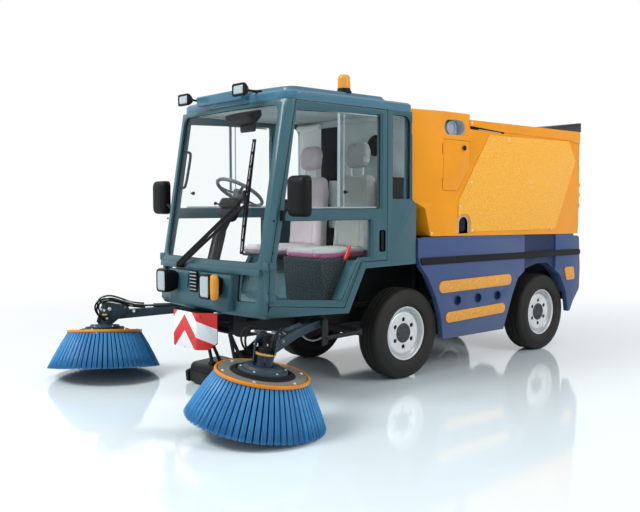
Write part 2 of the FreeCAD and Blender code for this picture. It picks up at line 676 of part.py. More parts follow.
def mirror():
    """Mirror head with its rounded back, on a jointed arm from the door's front edge."""
    foot_z = WAIST_BOTTOM + 33
    foot_y = door_front(foot_z) + 12
    face = CAB_HALF_WIDTH + SEAT
    head_x, head_z = CAB_HALF_WIDTH + 138, WAIST_TOP + 82
    back_y = foot_y - 42
    foot = front_prism(rounded_box(face + 9, foot_z, 9, 34, 6), foot_y, foot_y + 30)
    post = rod(Vector(face + 14, foot_y + 15, foot_z), Vector(head_x - 62, foot_y + 2, foot_z + 74), 9)
    joint = rod(Vector(head_x - 62, foot_y + 2, foot_z + 40), Vector(head_x - 62, foot_y + 2, foot_z + 108), 13)
    half_w, half_h = MIRROR_WIDTH / 2, MIRROR_HEIGHT / 2
    glass_face = back_y + MIRROR_DEPTH
    shell = front_taper(rounded_box(head_x, head_z, half_w - 24, half_h - 24, 34), back_y,
                        rounded_box(head_x, head_z, half_w, half_h, 42), back_y + MIRROR_DEPTH * 0.45)
    rim = front_prism(rounded_box(head_x, head_z, half_w, half_h, 42), back_y + MIRROR_DEPTH * 0.45, glass_face)
    sunk = front_prism(rounded_box(head_x, head_z, half_w - 9, half_h - 9, 34), glass_face - 5, glass_face + 5)
    return fused(foot, post, joint, shell, rim).cut(sunk)


def steering_axis():
    tilt = math.radians(STEERING_TILT)
    return Vector(0, math.sin(tilt), math.cos(tilt))


def steering_column():
    """Floor foot, the raked post, the upper tube with its stalk, and the shaft that carries the wheel."""
    floor_z = CAB_FLOOR_TOP
    axis = steering_axis()
    centre = Vector(STEERING_X, STEERING_Y, STEERING_Z)
    foot_y = 125 - CAB_REACH
    foot = plan_taper([(STEERING_X - 75, foot_y - 75, 15), (STEERING_X + 75, foot_y - 75, 15),
                       (STEERING_X + 75, foot_y + 75, 15), (STEERING_X - 75, foot_y + 75, 15)], floor_z,
                      [(STEERING_X - 52, foot_y - 52, 15), (STEERING_X + 52, foot_y - 52, 15),
                       (STEERING_X + 52, foot_y + 52, 15), (STEERING_X - 52, foot_y + 52, 15)], floor_z + 90)
    knee = centre - axis * 330
    post = rod(Vector(STEERING_X, foot_y, floor_z + 30), knee, COLUMN_RADIUS)
    upper = rod(knee - axis * 30, centre - axis * 70, COLUMN_RADIUS - 7)
    shaft = rod(centre - axis * 100, centre - axis * 25, COLUMN_SHAFT)
    stalk_foot = centre - axis * 130
    stalk = rod(stalk_foot, stalk_foot + Vector(-150, -45, 30), 6)
    knob = Part.makeSphere(13, stalk_foot + Vector(-150, -45, 30))
    return fused(foot, post, upper, shaft, stalk, knob)


def steering_wheel():
    axis = steering_axis()
    centre = Vector(STEERING_X, STEERING_Y, STEERING_Z)
    ring_radius = STEERING_RADIUS - STEERING_RIM
    wheel = Part.makeTorus(ring_radius, STEERING_RIM, centre, axis)
    hub = turned([(-60, 0), (-60, 34, 6), (-20, 46, 12), (6, 50, 8), (14, 36, 6), (14, 0)], centre, axis)
    across = Vector(1, 0, 0)
    up = axis.cross(across)
    for angle in (90, 210, 330):
        direction = across * math.cos(math.radians(angle)) + up * math.sin(math.radians(angle))
        hub = hub.fuse(rod(centre - axis * 12 + direction * 25, centre + direction * ring_radius, 9))
    bore = rod(centre - axis * 70, centre - axis * 20, COLUMN_SHAFT + PIN_PLAY)
    return wheel.fuse(hub).cut(bore)


def seats():
    """Two closed consoles over the step, each with its cushion, backrest and headrest."""
    floor_z = CAB_FLOOR_TOP
    step_z = CAB_STEP + SEAT
    low = CAB_STEP + 22
    front, back = SILL_REAR - 140, CAB_REAR - 232
    console = [(SILL_REAR - 80, floor_z), (SILL_REAR - 24, floor_z), (ARCH_FRONT - 24, step_z),
               (CAB_REAR - 240, step_z), (CAB_REAR - 240, low + 1), (SILL_REAR - 110, low + 1, 15)]
    cushion = [(front, low, 25), (front - 6, low + 66, 32), (back - 50, low + 58, 20), (back - 20, low, 10)]
    rest = [(back - 60, low + 30, 10), (back - 10, low + 610, 40), (back + 84, low + 615, 40), (back + 70, low, 20),
            (back - 30, low, 8)]
    head = [(back + 4, low + 640, 28), (back + 12, low + 835, 40), (back + 92, low + 835, 40), (back + 88, low + 640, 28)]
    parts = []
    for x in (-SEAT_X, SEAT_X):
        half = SEAT_WIDTH / 2
        posts = [rod(Vector(x + dx, back + 45, low + 590), Vector(x + dx, back + 48, low + 660), 8) for dx in (-60, 60)]
        parts.append(fused(side_prism(console, x - half + 10, x + half - 10), side_prism(cushion, x - half, x + half),
                           side_prism(rest, x - half + 10, x + half - 10), side_prism(head, x - 125, x + 125), *posts))
    return Part.Compound(parts)


def wiper():
    """Spindle on the kink bar, two parallel arms, and the blade that lies against the glass."""
    foot_z = CAB_KINK - 18
    foot_y = nose_front(abs(WIPER_X) - 14, foot_z - 14, -KINK_BAR_PROUD) - SEAT
    blade_low, blade_high = CAB_KINK + 90, CAB_KINK + 820
    carrier_z = CAB_KINK + 432
    blade_x = WIPER_BLADE_X
    pivot = rod(Vector(WIPER_X, foot_y, foot_z), Vector(WIPER_X, foot_y - 30, foot_z), 14)
    boss = rod(Vector(WIPER_X + 34, foot_y - 8, foot_z), Vector(WIPER_X + 34, foot_y - 30, foot_z), 12)
    link = block(WIPER_X, WIPER_X + 34, foot_y - 28, foot_y - 12, foot_z - 10, foot_z + 10)
    carrier = Vector(blade_x - 9, nose_front(blade_x, carrier_z) - 26, carrier_z)
    near_arm = rod(Vector(WIPER_X + 34, foot_y - 22, foot_z), carrier + Vector(6, 0, -26), 7)
    far_arm = rod(Vector(WIPER_X, foot_y - 22, foot_z), carrier + Vector(-6, 0, 20), 8)
    yoke = rod(carrier + Vector(8, 0, -40), carrier + Vector(-8, 0, 40), 9)
    low = Vector(blade_x + 10, nose_front(blade_x, blade_low) - 17, blade_low)
    high = Vector(blade_x - 10, nose_front(blade_x, blade_high) - 17, blade_high)
    blade = rod(low, high, 8)
    saddle = rod(carrier + Vector(0, -2, 0), (low + high) * 0.5, 8)
    return fused(pivot, boss, link, near_arm, far_arm, yoke, blade, saddle)


# Lamps
def headlamp():
    """Rectangular lamp in a deep housing on the pod, with the indicator at its outer side."""
    x, z = HEADLAMP_X, CAB_FLOOR_TOP + 160
    face = nose_front(x, z) - 172
    half_w, half_h = LENS_HALF_WIDTH, LENS_HALF_HEIGHT
    case = front_taper(rounded_box(x, z, half_w, half_h, 18), face, rounded_box(x, z, half_w - 8, half_h - 14, 18),
                       face + 90)
    stay_end = nose_front(x - 20, z - 34, -POD_PROUD) - SEAT
    rear = front_taper(rounded_box(x, z, half_w - 8, half_h - 14, 18), face + 90,
                       rounded_box(x, z, half_w - 30, half_h - 50, 14), stay_end - 10)
    side = x + half_w
    indicator = plan_prism([(side - 2, face + 3), (side + INDICATOR_WIDTH, face + 12, 18),
                            (side + INDICATOR_WIDTH, face + 82, 10), (side - 12, face + 82)],
                           z - half_h + 6, z + half_h - 6)
    stay = block(x - 20, x + 20, face + 100, stay_end, z - 34, z + 26)
    return fused(case, rear, indicator, stay)


def roof_lamp():
    x = ROOF_LAMP_X
    z = ROOF_TOP - 26
    front = nose_front(x, CAB_EAVES) - 138
    case = front_taper(rounded_box(x, z, 66, 41, 15), front, rounded_box(x, z + 3, 58, 34, 15), front + 34)
    rear = front_taper(rounded_box(x, z + 3, 58, 34, 15), front + 34, rounded_box(x - 6, z + 6, 30, 20, 10), front + 64)
    crown = CAB_EAVES + GUTTER_DEPTH + ROOF_EDGE + SEAT
    foot_y = nose_at(CAB_EAVES)[3] + 12
    stay = rod(Vector(x - 6, front + 60, z + 6), Vector(x - 6, foot_y, z + 6), 8)
    foot = block(x - 22, x + 10, foot_y - 15, foot_y + 13, crown, z + 10)
    return fused(case, rear, stay, foot)


def beacon():
    """Amber dome on its black foot, on the raised part of the roof."""
    foot_z = ROOF_TOP + SEAT
    radius = BEACON_RADIUS
    return turned([(0, 0), (0, radius + 8), (14, radius + 6), (18, radius - 2), (26, radius - 2), (26, radius),
                   (108, radius - 5, 14), (124, 24, 10), (126, 0)],
                  Vector(BEACON_X, BEACON_Y, foot_z), Vector(0, 0, 1))


def lamps():
    left = [headlamp(), roof_lamp()]
    return Part.Compound(left + [mirrored(lamp) for lamp in left] + [beacon()])


# Frame and running gear
def hopper_floor_at(y):
    return line_z(y, TOE_BACK, HOPPER_BOTTOM, HOPPER_REAR, HOPPER_BOTTOM - HOPPER_FLOOR_SLOPE)


def pan_bottom_at(y):
    return line_z(y, -CAB_REACH, CAB_FLOOR_BOTTOM, SILL_REAR, SILL_REAR_Z)


def chassis_frame():
    """Two rails joined by cross members, with the posts that carry the cab and the hopper."""
    inner, outer = RAIL_X - RAIL_WIDTH / 2, RAIL_X + RAIL_WIDTH / 2
    rail = side_prism([(RAIL_FRONT + 60, RAIL_BOTTOM), (RAIL_FRONT, RAIL_BOTTOM + 40), (RAIL_FRONT, RAIL_TOP, 10),
                       (RAIL_REAR, RAIL_TOP), (RAIL_REAR, RAIL_BOTTOM, 20)], inner, outer)
    nose_stand = side_prism([(RAIL_FRONT + 4, RAIL_TOP - 5), (RAIL_FRONT + 14, pan_bottom_at(RAIL_FRONT + 14) - SEAT),
                             (RAIL_FRONT + 86, pan_bottom_at(RAIL_FRONT + 86) - SEAT), (RAIL_FRONT + 124, RAIL_TOP - 5)],
                            inner, outer)
    pieces = [nose_stand]
    cab_post_y = CAB_REAR - 330
    post_top = line_z(cab_post_y, ARCH_FRONT, ARCH_TOP, HOPPER_FRONT + 30, ARCH_TOP + 6) - SEAT
    pieces.append(block(inner, outer, cab_post_y, cab_post_y + PAD_LENGTH, RAIL_TOP - 5, post_top))
    rest_y = TOWER_REAR - 86
    rest_top = hopper_floor_at(rest_y + PAD_LENGTH) - SEAT
    pieces.append(block(inner, outer, rest_y, rest_y + PAD_LENGTH, RAIL_TOP - 5, rest_top))
    half_frame = [rail] + pieces
    crosses = []
    for y in (RAIL_FRONT + 62, HOPPER_FRONT + 460, WHEELBASE - 500, RAIL_REAR - 90):
        crosses.append(block(-RAIL_X, RAIL_X, y, y + CROSS_WIDTH, RAIL_BOTTOM + 5, RAIL_TOP - 25))
    crosses.append(block(-RAIL_X, RAIL_X, ARM_ROOT_Y, ARM_ROOT_Y + CROSS_WIDTH, RAIL_TOP - 22, RAIL_TOP))
    return fused(*half_frame, *[mirrored(piece) for piece in half_frame], *crosses)


def tipping_frame():
    """Outriggers to the side shells and the two upright lugs that carry the hopper's tipping pin."""
    face = RAIL_X + RAIL_WIDTH / 2
    reach = BODY_HALF_WIDTH - SHELL_WALL
    low = RAIL_BOTTOM + 24
    front_y = TYRE_RADIUS + 186
    rear_y = RAIL_REAR - 65
    front = block(face, reach, front_y, front_y + OUTRIGGER_WIDTH, low, low + OUTRIGGER_DEPTH)
    rear = block(face, reach, rear_y, rear_y + OUTRIGGER_WIDTH, low, low + OUTRIGGER_DEPTH)
    pin_y, pin_z = TIP_PIN_Y, TIP_PIN_Z
    foot_y = rear_y + 10
    lug = side_prism([(foot_y, low + 5), (foot_y + 5, low + 140), (pin_y - 25, pin_z - 80), (pin_y - 25, pin_z + 25, 24),
                      (pin_y + 25, pin_z + 25, 24), (pin_y + 25, pin_z - 60), (foot_y + 105, low + 140),
                      (foot_y + 45, low + 5)], TIP_LUG_X - TIP_LUG_WIDTH / 2, TIP_LUG_X + TIP_LUG_WIDTH / 2)
    bore = rod(Vector(TIP_LUG_X - 60, pin_y, pin_z), Vector(TIP_LUG_X + 60, pin_y, pin_z), TIP_PIN_RADIUS + PIN_PLAY)
    rear = rear.fuse(lug).cut(bore).removeSplitter()
    return Part.Compound([front, rear, mirrored(front), mirrored(rear)])


def engine_block():
    """Engine with its head, cover and bell housing, the radiator ahead of it and the air filter."""
    base = RAIL_TOP + SEAT
    front = WHEELBASE - 830
    bed = block(-195, 195, front, front + 600, base, base + 22)
    crankcase = front_prism([(-150, base + 20), (150, base + 20), (165, base + 120, 20), (150, base + 260, 20),
                             (-150, base + 260, 20), (-165, base + 120, 20)], front + 60, front + 560)
    head = block(-120, 120, front + 80, front + 540, base + 258, base + 345)
    cover = front_prism([(-85, base + 340), (85, base + 340), (70, base + 410, 25), (-70, base + 410, 25)],
                        front + 95, front + 525)
    centre_z = base + 165
    bell = turned([(0, 0), (0, 120, 8), (40, 150, 10), (52, 150), (52, 0)], Vector(0, front + 548, centre_z), Vector(0, 1, 0))
    pulley = turned([(0, 0), (0, 70, 4), (10, 62), (20, 62), (30, 70, 4), (30, 0)], Vector(0, front + 32, centre_z),
                    Vector(0, 1, 0))
    radiator = block(-190, 190, front - 60, front - 5, base, base + 400)
    tank = front_prism(rounded_box(0, base + 415, 170, 22, 18), front - 62, front - 3)
    mount = block(-150, 150, front - 10, front + 5, base, base + 22)
    filter_drum = rod(Vector(-60, front + 560, base + 440), Vector(-60, front + 180, base + 440), 58)
    silencer = rod(Vector(150, front + 150, base + 300), Vector(150, front + 480, base + 300), 52)
    return fused(bed, crankcase, head, cover, bell, pulley, radiator, tank, mount, filter_drum, silencer)


def knuckle():
    """Steering knuckle: the barrel round the king pin, the spindle and the steering arm."""
    x, z = KINGPIN_X, TYRE_RADIUS
    half = KNUCKLE_HEIGHT / 2
    barrel = rod(Vector(x, 0, z - half), Vector(x, 0, z + half), KNUCKLE_RADIUS)
    bore = rod(Vector(x, 0, z - 2 * half), Vector(x, 0, z + 2 * half), KINGPIN_RADIUS + PIN_PLAY)
    spindle = rod(Vector(x + 20, 0, z), Vector(HUB_FACE + SPINDLE_LENGTH, 0, z), SPINDLE_RADIUS)
    shoulder = rod(Vector(x + 15, 0, z), Vector(HUB_FACE - 1.0, 0, z), SPINDLE_RADIUS + 14)
    return fused(barrel, spindle, shoulder).cut(bore)


def front_axle():
    """Beam under the rails with a forked end round each knuckle and its king pin."""
    z = TYRE_RADIUS
    half = KNUCKLE_HEIGHT / 2
    ear_depth = 25.0
    back_x = KINGPIN_X - KNUCKLE_RADIUS - 11
    pieces = [block(-back_x, back_x, -AXLE_WIDTH / 2, AXLE_WIDTH / 2, z - AXLE_DEPTH / 2, z + AXLE_DEPTH / 2)]
    for sign in (1, -1):
        x = sign * KINGPIN_X
        inner = sign * (back_x - 30)
        pieces.append(block(inner, sign * back_x, -AXLE_WIDTH / 2, AXLE_WIDTH / 2,
                            z - half - ear_depth - 1, z + half + ear_depth + 1))
        for low in (z - half - ear_depth - 1, z + half + 1):
            pieces.append(block(inner, x, -KNUCKLE_RADIUS + 2, KNUCKLE_RADIUS - 2, low, low + ear_depth))
            pieces.append(Part.makeCylinder(KNUCKLE_RADIUS - 2, ear_depth, Vector(x, 0, low)))
        pieces.append(rod(Vector(x, 0, z - half - 30), Vector(x, 0, z + half + 30), KINGPIN_RADIUS))
        spring_x = sign * RAIL_X
        pieces.append(block(spring_x - SPRING_WIDTH / 2, spring_x + SPRING_WIDTH / 2, -35, 35,
                            z + AXLE_DEPTH / 2 - 1, RAIL_BOTTOM - SEAT))
    return fused(*pieces)


def rear_axle():
    """Tube with the differential in its middle and a spindle at each end."""
    y, z = WHEELBASE, TYRE_RADIUS
    tube_radius = SPINDLE_RADIUS + 20
    axle = rod(Vector(-HUB_FACE + 1, y, z), Vector(HUB_FACE - 1, y, z), tube_radius)
    spindle = rod(Vector(-HUB_FACE - SPINDLE_LENGTH, y, z), Vector(HUB_FACE + SPINDLE_LENGTH, y, z), SPINDLE_RADIUS)
    pot = turned([(-110, 0), (-110, 60), (-50, DIFFERENTIAL_RADIUS, 30), (50, DIFFERENTIAL_RADIUS, 30), (110, 60),
                  (110, 0)], Vector(0, y, z), Vector(1, 0, 0))
    nose = turned([(0, 0), (0, 70), (150, 42), (190, 36), (190, 0)], Vector(0, y - 60, z), Vector(0, -1, 0))
    pieces = [spindle, pot, nose]
    for sign in (1, -1):
        spring_x = sign * RAIL_X
        pieces.append(block(spring_x - SPRING_WIDTH / 2, spring_x + SPRING_WIDTH / 2, y - 35, y + 35, z,
                            RAIL_BOTTOM - SEAT))
    return fused(axle, *pieces)


def axles():
    return Part.Compound([front_axle(), rear_axle()])


def tyre(x, y):
    """Tyre with plain sidewalls and three grooves round its tread."""
    sign = 1 if x > 0 else -1
    half = TYRE_WIDTH / 2
    bead = RIM_WIDTH / 2 - SEAT
    base = RIM_RADIUS + SEAT
    lip = base + RIM_LIP
    low = base + 0.42 * (TYRE_RADIUS - base)
    right = [(bead, base), (bead, lip), (half - 8, lip + 6, 10), (half, low, 40), (half, low + 30, 40),
             (half - 14, TYRE_RADIUS - 7, 24), (half - 38, TYRE_RADIUS)]
    tread = []
    for centre in (TYRE_WIDTH / 5, 0, -TYRE_WIDTH / 5):
        tread += [(centre + TREAD_GROOVE / 2, TYRE_RADIUS), (centre + 3, TYRE_RADIUS - TREAD_GROOVE),
                  (centre - 3, TYRE_RADIUS - TREAD_GROOVE), (centre - TREAD_GROOVE / 2, TYRE_RADIUS)]
    profile = right + tread + [(-p[0],) + p[1:] for p in reversed(right)]
    return turned(profile, Vector(x, y, TYRE_RADIUS), Vector(sign, 0, 0))


def rim(x, y):
    """Rolled rim with its lips, the dished disc with six round holes, and the hub with its bore."""
    sign = 1 if x > 0 else -1
    centre = Vector(x, y, TYRE_RADIUS)
    axis = Vector(sign, 0, 0)
    half = RIM_WIDTH / 2
    inner = RIM_RADIUS - RIM_WALL
    lip = RIM_RADIUS + RIM_LIP
    barrel = turned([(-half - 4, inner), (-half - 4, lip), (-half, lip), (-half, RIM_RADIUS), (half, RIM_RADIUS),
                     (half, lip), (half + 4, lip), (half + 4, inner)], centre, axis)
    face = RIM_DISC_X
    foot = face - 33
    dish = turned([(face - DISC_WALL, 0), (face - DISC_WALL, DISC_FACE_RADIUS - 27), (foot - DISC_WALL, 165, 15),
                   (foot - DISC_WALL, inner + 2), (foot, inner + 2), (foot, 172, 15),
                   (face, DISC_FACE_RADIUS - 4, 20), (face, 0)], centre, axis)
    hub = rod(centre + axis * (face - HUB_LENGTH), centre + axis * (face + HUB_PROUD), HUB_RADIUS)
    bore = rod(centre + axis * (face - HUB_LENGTH - 5), centre + axis * (face - HUB_LENGTH + SPINDLE_LENGTH + 0.5),
               SPINDLE_RADIUS + PIN_PLAY)
    wheel = fused(barrel, dish, hub).cut(bore)
    for i in range(DISC_HOLES):
        angle = 2 * math.pi * (i + 0.5) / DISC_HOLES
        at = centre + Vector(0, math.cos(angle), math.sin(angle)) * DISC_HOLE_CIRCLE
        wheel = wheel.cut(rod(at, at + axis * (face + 30), DISC_HOLE_RADIUS))
    return wheel


# Side shells of the chassis with their wheel arches, joined across the rear.
# The arches are given in tyre radii from the wheel's centre, as (behind, above, corner radius).
FRONT_ARCH = [(1.060, -0.230, 20), (0.994, 0.270, 80), (0.805, 0.758, 60), (0.506, 1.246, 60), (0.278, 1.488, 20)]
REAR_ARCH = [(1.147, -0.048, 0), (1.057, -0.057, 0), (0.949, 0.470, 80), (0.635, 0.961, 90), (0.051, 1.312, 80),
             (-0.428, 1.314, 80), (-0.922, 1.207, 80), (-1.293, 0.988, 40), (-1.503, 0.611, 60), (-1.877, -0.240, 10)]


def arch_points(arch, axle_y, grow=0.0):
    points = []
    for behind, above, corner in arch:
        reach = math.hypot(behind, above)
        scale = TYRE_RADIUS + grow / reach
        points.append((axle_y + behind * scale, TYRE_RADIUS + above * scale, corner))
    return points


def shell_outline():
    top_rear = HOPPER_REAR + 24
    low_rear = BELT_BOTTOM - 135
    return (arch_points(FRONT_ARCH, 0.0) + [(SHELL_FRONT, BELT_TOP + 12), (SHELL_FRONT, SHELL_TOP, 20),
            (top_rear, SHELL_TOP_REAR, 20), (SHELL_REAR, low_rear, 60), (SHELL_REAR - 6, low_rear - 191, 60),
            (HOPPER_REAR - 55, TYRE_RADIUS + 71, 40)] + arch_points(REAR_ARCH, WHEELBASE))


def body_shell():
    """Both side shells, the sunk bay over each rear wheel, the rear arch liners and the rear panel."""
    outer = BODY_HALF_WIDTH
    inner = outer - SHELL_WALL
    side = side_prism(shell_outline(), inner, outer)
    shoulder = 16.0
    bevel = [(SHELL_FRONT - 20, SHELL_TOP + 5), (HOPPER_REAR + 60, SHELL_TOP_REAR + 5)]
    edge = front_edge_bevel(bevel, outer, shoulder)
    side = side.cut(edge)
    bay_front, bay_back = WHEELBASE - 339, WHEELBASE + 131
    bay = side_prism([(bay_front, ARCH_CROWN - 60, 10), (bay_front - 6, SHELL_TOP + 10, 0), (bay_back, SHELL_TOP + 10, 0),
                      (bay_back + 6, ARCH_CROWN - 60, 10)], outer - RECESS_DEPTH, outer + 10)
    side = side.cut(bay)
    thick = REAR_PANEL
    foot_y, foot_z = HOPPER_REAR - 55, TYRE_RADIUS + 74
    back, low_rear = SHELL_REAR, BELT_BOTTOM - 135
    head_y, head_z = HOPPER_REAR + 23, SHELL_TOP_REAR - 12
    rear = side_prism([(foot_y, foot_z), (back - 8, low_rear - 188), (back - 2, low_rear), (head_y, head_z),
                       (head_y - thick, head_z), (back - thick, low_rear), (back - 6 - thick, low_rear - 180),
                       (foot_y - thick, foot_z + 12)], -inner, inner)
    liner = arch_liner(REAR_ARCH, WHEELBASE, inner)
    return fused(side, liner, mirrored(side), mirrored(liner), rear)


def front_edge_bevel(line, outer, size):
    """Wedge that bevels the outer top edge of the side shell along a sloping line."""
    (y0, z0), (y1, z1) = line
    wires = []
    for y, z in ((y0, z0), (y1, z1)):
        corners = [Vector(outer - size, y, z), Vector(outer + 5, y, z), Vector(outer + 5, y, z - size - 12)]
        wires.append(Part.makePolygon(corners + corners[:1]))
    return lofted(wires)


def arch_liner(arch, axle_y, inner):
    """Strip of inner wing behind the side shell, above the tyre."""
    points = [p for p in arch_points(arch, axle_y) if p[1] > TYRE_RADIUS * 1.2]
    depth = 60.0
    thickness = 8.0
    outer_points = [(y, z) for y, z, r in points]
    middle = Vector(axle_y, TYRE_RADIUS, 0)
    grown = []
    for y, z in reversed(outer_points):
        away = Vector(y, z, 0) - middle
        away = away * ((away.Length + thickness) / away.Length)
        grown.append((middle.x + away.x, middle.y + away.y))
    return side_prism(outer_points + grown, inner - depth, inner + 1)


def belt():
    """Rubber rail round both sides and across the rear."""
    inner, outer = BODY_HALF_WIDTH + SEAT, BODY_HALF_WIDTH + BELT_PROUD
    strip = side_prism([(SHELL_FRONT + 34, BELT_BOTTOM, 8), (SHELL_FRONT + 18, BELT_TOP, 8),
                        (SHELL_REAR - 24, BELT_TOP - 12, 20), (SHELL_REAR - 2, BELT_BOTTOM - 10, 20)], inner, outer)
    return both_sides(strip)


def stadium(y0, z0, y1, z1, thickness):
    """Strip with round ends between two points, as a (y, z) outline."""
    along = Vector(y1 - y0, z1 - z0, 0).normalize()
    up = Vector(-along.y, along.x, 0) * (thickness / 2)
    corner = thickness / 2 - 0.5
    corners = [(y0 - up.x, z0 - up.y), (y1 - up.x, z1 - up.y), (y1 + up.x, z1 + up.y), (y0 + up.x, z0 + up.y)]
    return [(y, z, corner) for y, z in corners]


def markers():
    """Amber strips and ports on the panel between the wheels, and the corner reflector behind."""
    inner, outer = BODY_HALF_WIDTH + SEAT, BODY_HALF_WIDTH + MARKER_PROUD
    middle_z = TYRE_RADIUS + 207
    upper = stadium(299, middle_z + 115, WHEELBASE - 532, middle_z + 122, 92)
    lower = stadium(380, middle_z - 124, WHEELBASE - 615, middle_z - 107, 82)
    back = HOPPER_REAR - 225
    corner = [(back + 46, middle_z + 57, 24), (back, middle_z + 177, 24), (back + 158, middle_z + 178, 24),
              (back + 180, middle_z + 62, 24)]
    left = [side_prism(points, inner, outer) for points in (upper, lower, corner)]
    for share in (0.2994, 0.4457, 0.5914):
        at = Vector(inner, share * WHEELBASE, middle_z)
        left.append(rod(at, at + Vector(MARKER_PROUD - 2, 0, 0), 38))
    return Part.Compound(left + [mirrored(piece) for piece in left])


# Suction nozzle and duct
def hood_outline():
    front, back = NOZZLE_FRONT, NOZZLE_FRONT + NOZZLE_LENGTH
    low = NOZZLE_GROUND_GAP
    return [(front, low, 10), (front, NOZZLE_HEIGHT, 40), (back - 50, NOZZLE_HEIGHT + 15, 20),
            (back, NOZZLE_HEIGHT - 30, 20), (back, low, 10)]


def suction_nozzle():
    """Hood open to the floor, with its runners, top plate, rubber flap and the two lift links."""
    half = NOZZLE_HALF_WIDTH
    wall = NOZZLE_WALL
    front, back = NOZZLE_FRONT, NOZZLE_FRONT + NOZZLE_LENGTH
    low = NOZZLE_GROUND_GAP
    hood = side_prism(hood_outline(), -half, half)
    hollow = side_prism([(front + wall, low - 15), (front + wall, NOZZLE_HEIGHT - 30, 30),
                         (back - wall - 2, NOZZLE_HEIGHT - 20, 20), (back - wall - 2, low - 15)], wall - half, half - wall)
    hood = hood.cut(hollow)
    runner = side_prism([(front - 22, 12, 10), (front - 30, 90, 20), (front + 40, 110, 12), (back - 30, 110, 12),
                         (back - 10, 12, 20)], half - 1, half + 26)
    flap = block(-half, half, front - 8, front + 1, 14, low + 60)
    links = []
    for x in (LINK_X, -LINK_X):
        foot = Vector(x, front + 68, NOZZLE_HEIGHT + 2)
        links.append(rod(foot, Vector(x, RAIL_FRONT + 25, RAIL_BOTTOM + 32), LINK_RADIUS))
        links.append(rod(foot + Vector(-22, 0, 4), foot + Vector(22, 0, 4), LINK_RADIUS + 8))
        links.append(rod(foot + Vector(0, 70, 4), Vector(x, RAIL_FRONT + 25, RAIL_BOTTOM + 32), LINK_RADIUS))
    yoke = rod(Vector(-RAIL_X + RAIL_WIDTH / 2 + SEAT, RAIL_FRONT + 25, RAIL_BOTTOM + 32),
               Vector(RAIL_X - RAIL_WIDTH / 2 - SEAT, RAIL_FRONT + 25, RAIL_BOTTOM + 32), 16)
    return fused(hood, runner, mirrored(runner), flap, *links, yoke)


def suction_duct():
    """Bent tube from the nozzle, over the front axle, up to the front of the hopper's floor."""
    mouth_y = NOZZLE_FRONT + NOZZLE_LENGTH - 120
    rise_y = HOPPER_FRONT + 420
    top = hopper_floor_at(rise_y + DUCT_RADIUS) - SEAT
    over = RAIL_TOP + 79
    points = [(mouth_y, NOZZLE_HEIGHT + 25), (mouth_y + 80, NOZZLE_HEIGHT + 25, 110), (-TYRE_RADIUS - 306, RAIL_BOTTOM, 200),
              (-TYRE_RADIUS - 86, over, 150), (rise_y, over, 130), (rise_y, top)]
    pipe = tube(route(points, lambda p: Vector(0, p.x, p.y)), DUCT_RADIUS)
    return pipe.cut(side_prism(hood_outline(), -NOZZLE_HALF_WIDTH, NOZZLE_HALF_WIDTH))


def chevron_board():
    """Bent warning board ahead of the frame, on a bracket under the cab's chin."""
    front, wing = BOARD_FRONT, BOARD_FRONT + 100
    bottom, top = CAB_FLOOR_BOTTOM - 232, CAB_FLOOR_BOTTOM + 12
    skin = 8.0
    plate = plan_prism([(-238, wing), (-141, front, 12), (141, front, 12), (238, wing), (232, wing + skin),
                        (138, front + skin, 6), (-138, front + skin, 6), (-232, wing + skin)], bottom, top)
    corners = front_prism([(-300, bottom - 5), (-190, bottom - 5), (-250, bottom + 60), (-300, bottom + 60)],
                          front - 20, wing + 40)
    plate = plate.cut(corners).cut(mirrored(corners))
    bracket = plan_prism([(-175, front + skin - 1, 20), (175, front + skin - 1, 20), (110, -CAB_REACH - 40, 30),
                          (-110, -CAB_REACH - 40, 30)], top - 34, top - 14)
    chin_z = CAB_FLOOR_TOP - CHIN_DROP
    post = block(-70, 70, -CAB_REACH - 48, -CAB_REACH - 20, bottom + 100, chin_z - SEAT)
    return fused(plate, bracket, post)


# Hopper
def tower_taper():
    """Wedge between the hopper's full width and the tower's side, which turns inwards to the front."""
    y0, y1 = HOPPER_FRONT, HOPPER_FRONT + 300
    x0, x1 = BODY_HALF_WIDTH - HOPPER_FRONT_TAPER, BODY_HALF_WIDTH
    fold_y, fold_z = HOPPER_FRONT + TOE_FOLD_BACK, HOPPER_BOTTOM + TOE_FOLD_RISE
    toe_z, end_z = HOPPER_BOTTOM + TOE_RISE, HOPPER_BOTTOM + TOE_RISE - 11
    slope_y = (end_z - fold_z) / (y1 - fold_y)
    outer_z = fold_z + slope_y * (y0 - fold_y)
    slope_x = (outer_z - toe_z) / (x1 - x0)

    def fold(x, y):
        return toe_z + slope_x * (x - x0) + slope_y * (y - y0)

    lead = (x1 - x0) / (y1 - y0)
    margin = 12.0
    plan = [(x0 - lead * margin, y0 - margin), (x1 + margin, y0 - margin), (x1 + margin, y1 + margin / lead)]
    low = [Vector(x, y, fold(x, y)) for x, y in plan]
    high = [Vector(x, y, TOWER_TOP + 50) for x, y in plan]
    wires = [Part.makePolygon(corners + corners[:1]) for corners in (low, high)]
    return lofted(wires)


def hatch_outline(inset):
    front, low, high = HATCH_FRONT + inset, HATCH_LOW + inset, HATCH_HIGH - inset
    back = HATCH_FRONT + 322 - inset
    return [(front, low), (front, high, 12), (back - 5, high - 4, 12), (back, high - 204, 12), (back - 151, low, 12)]


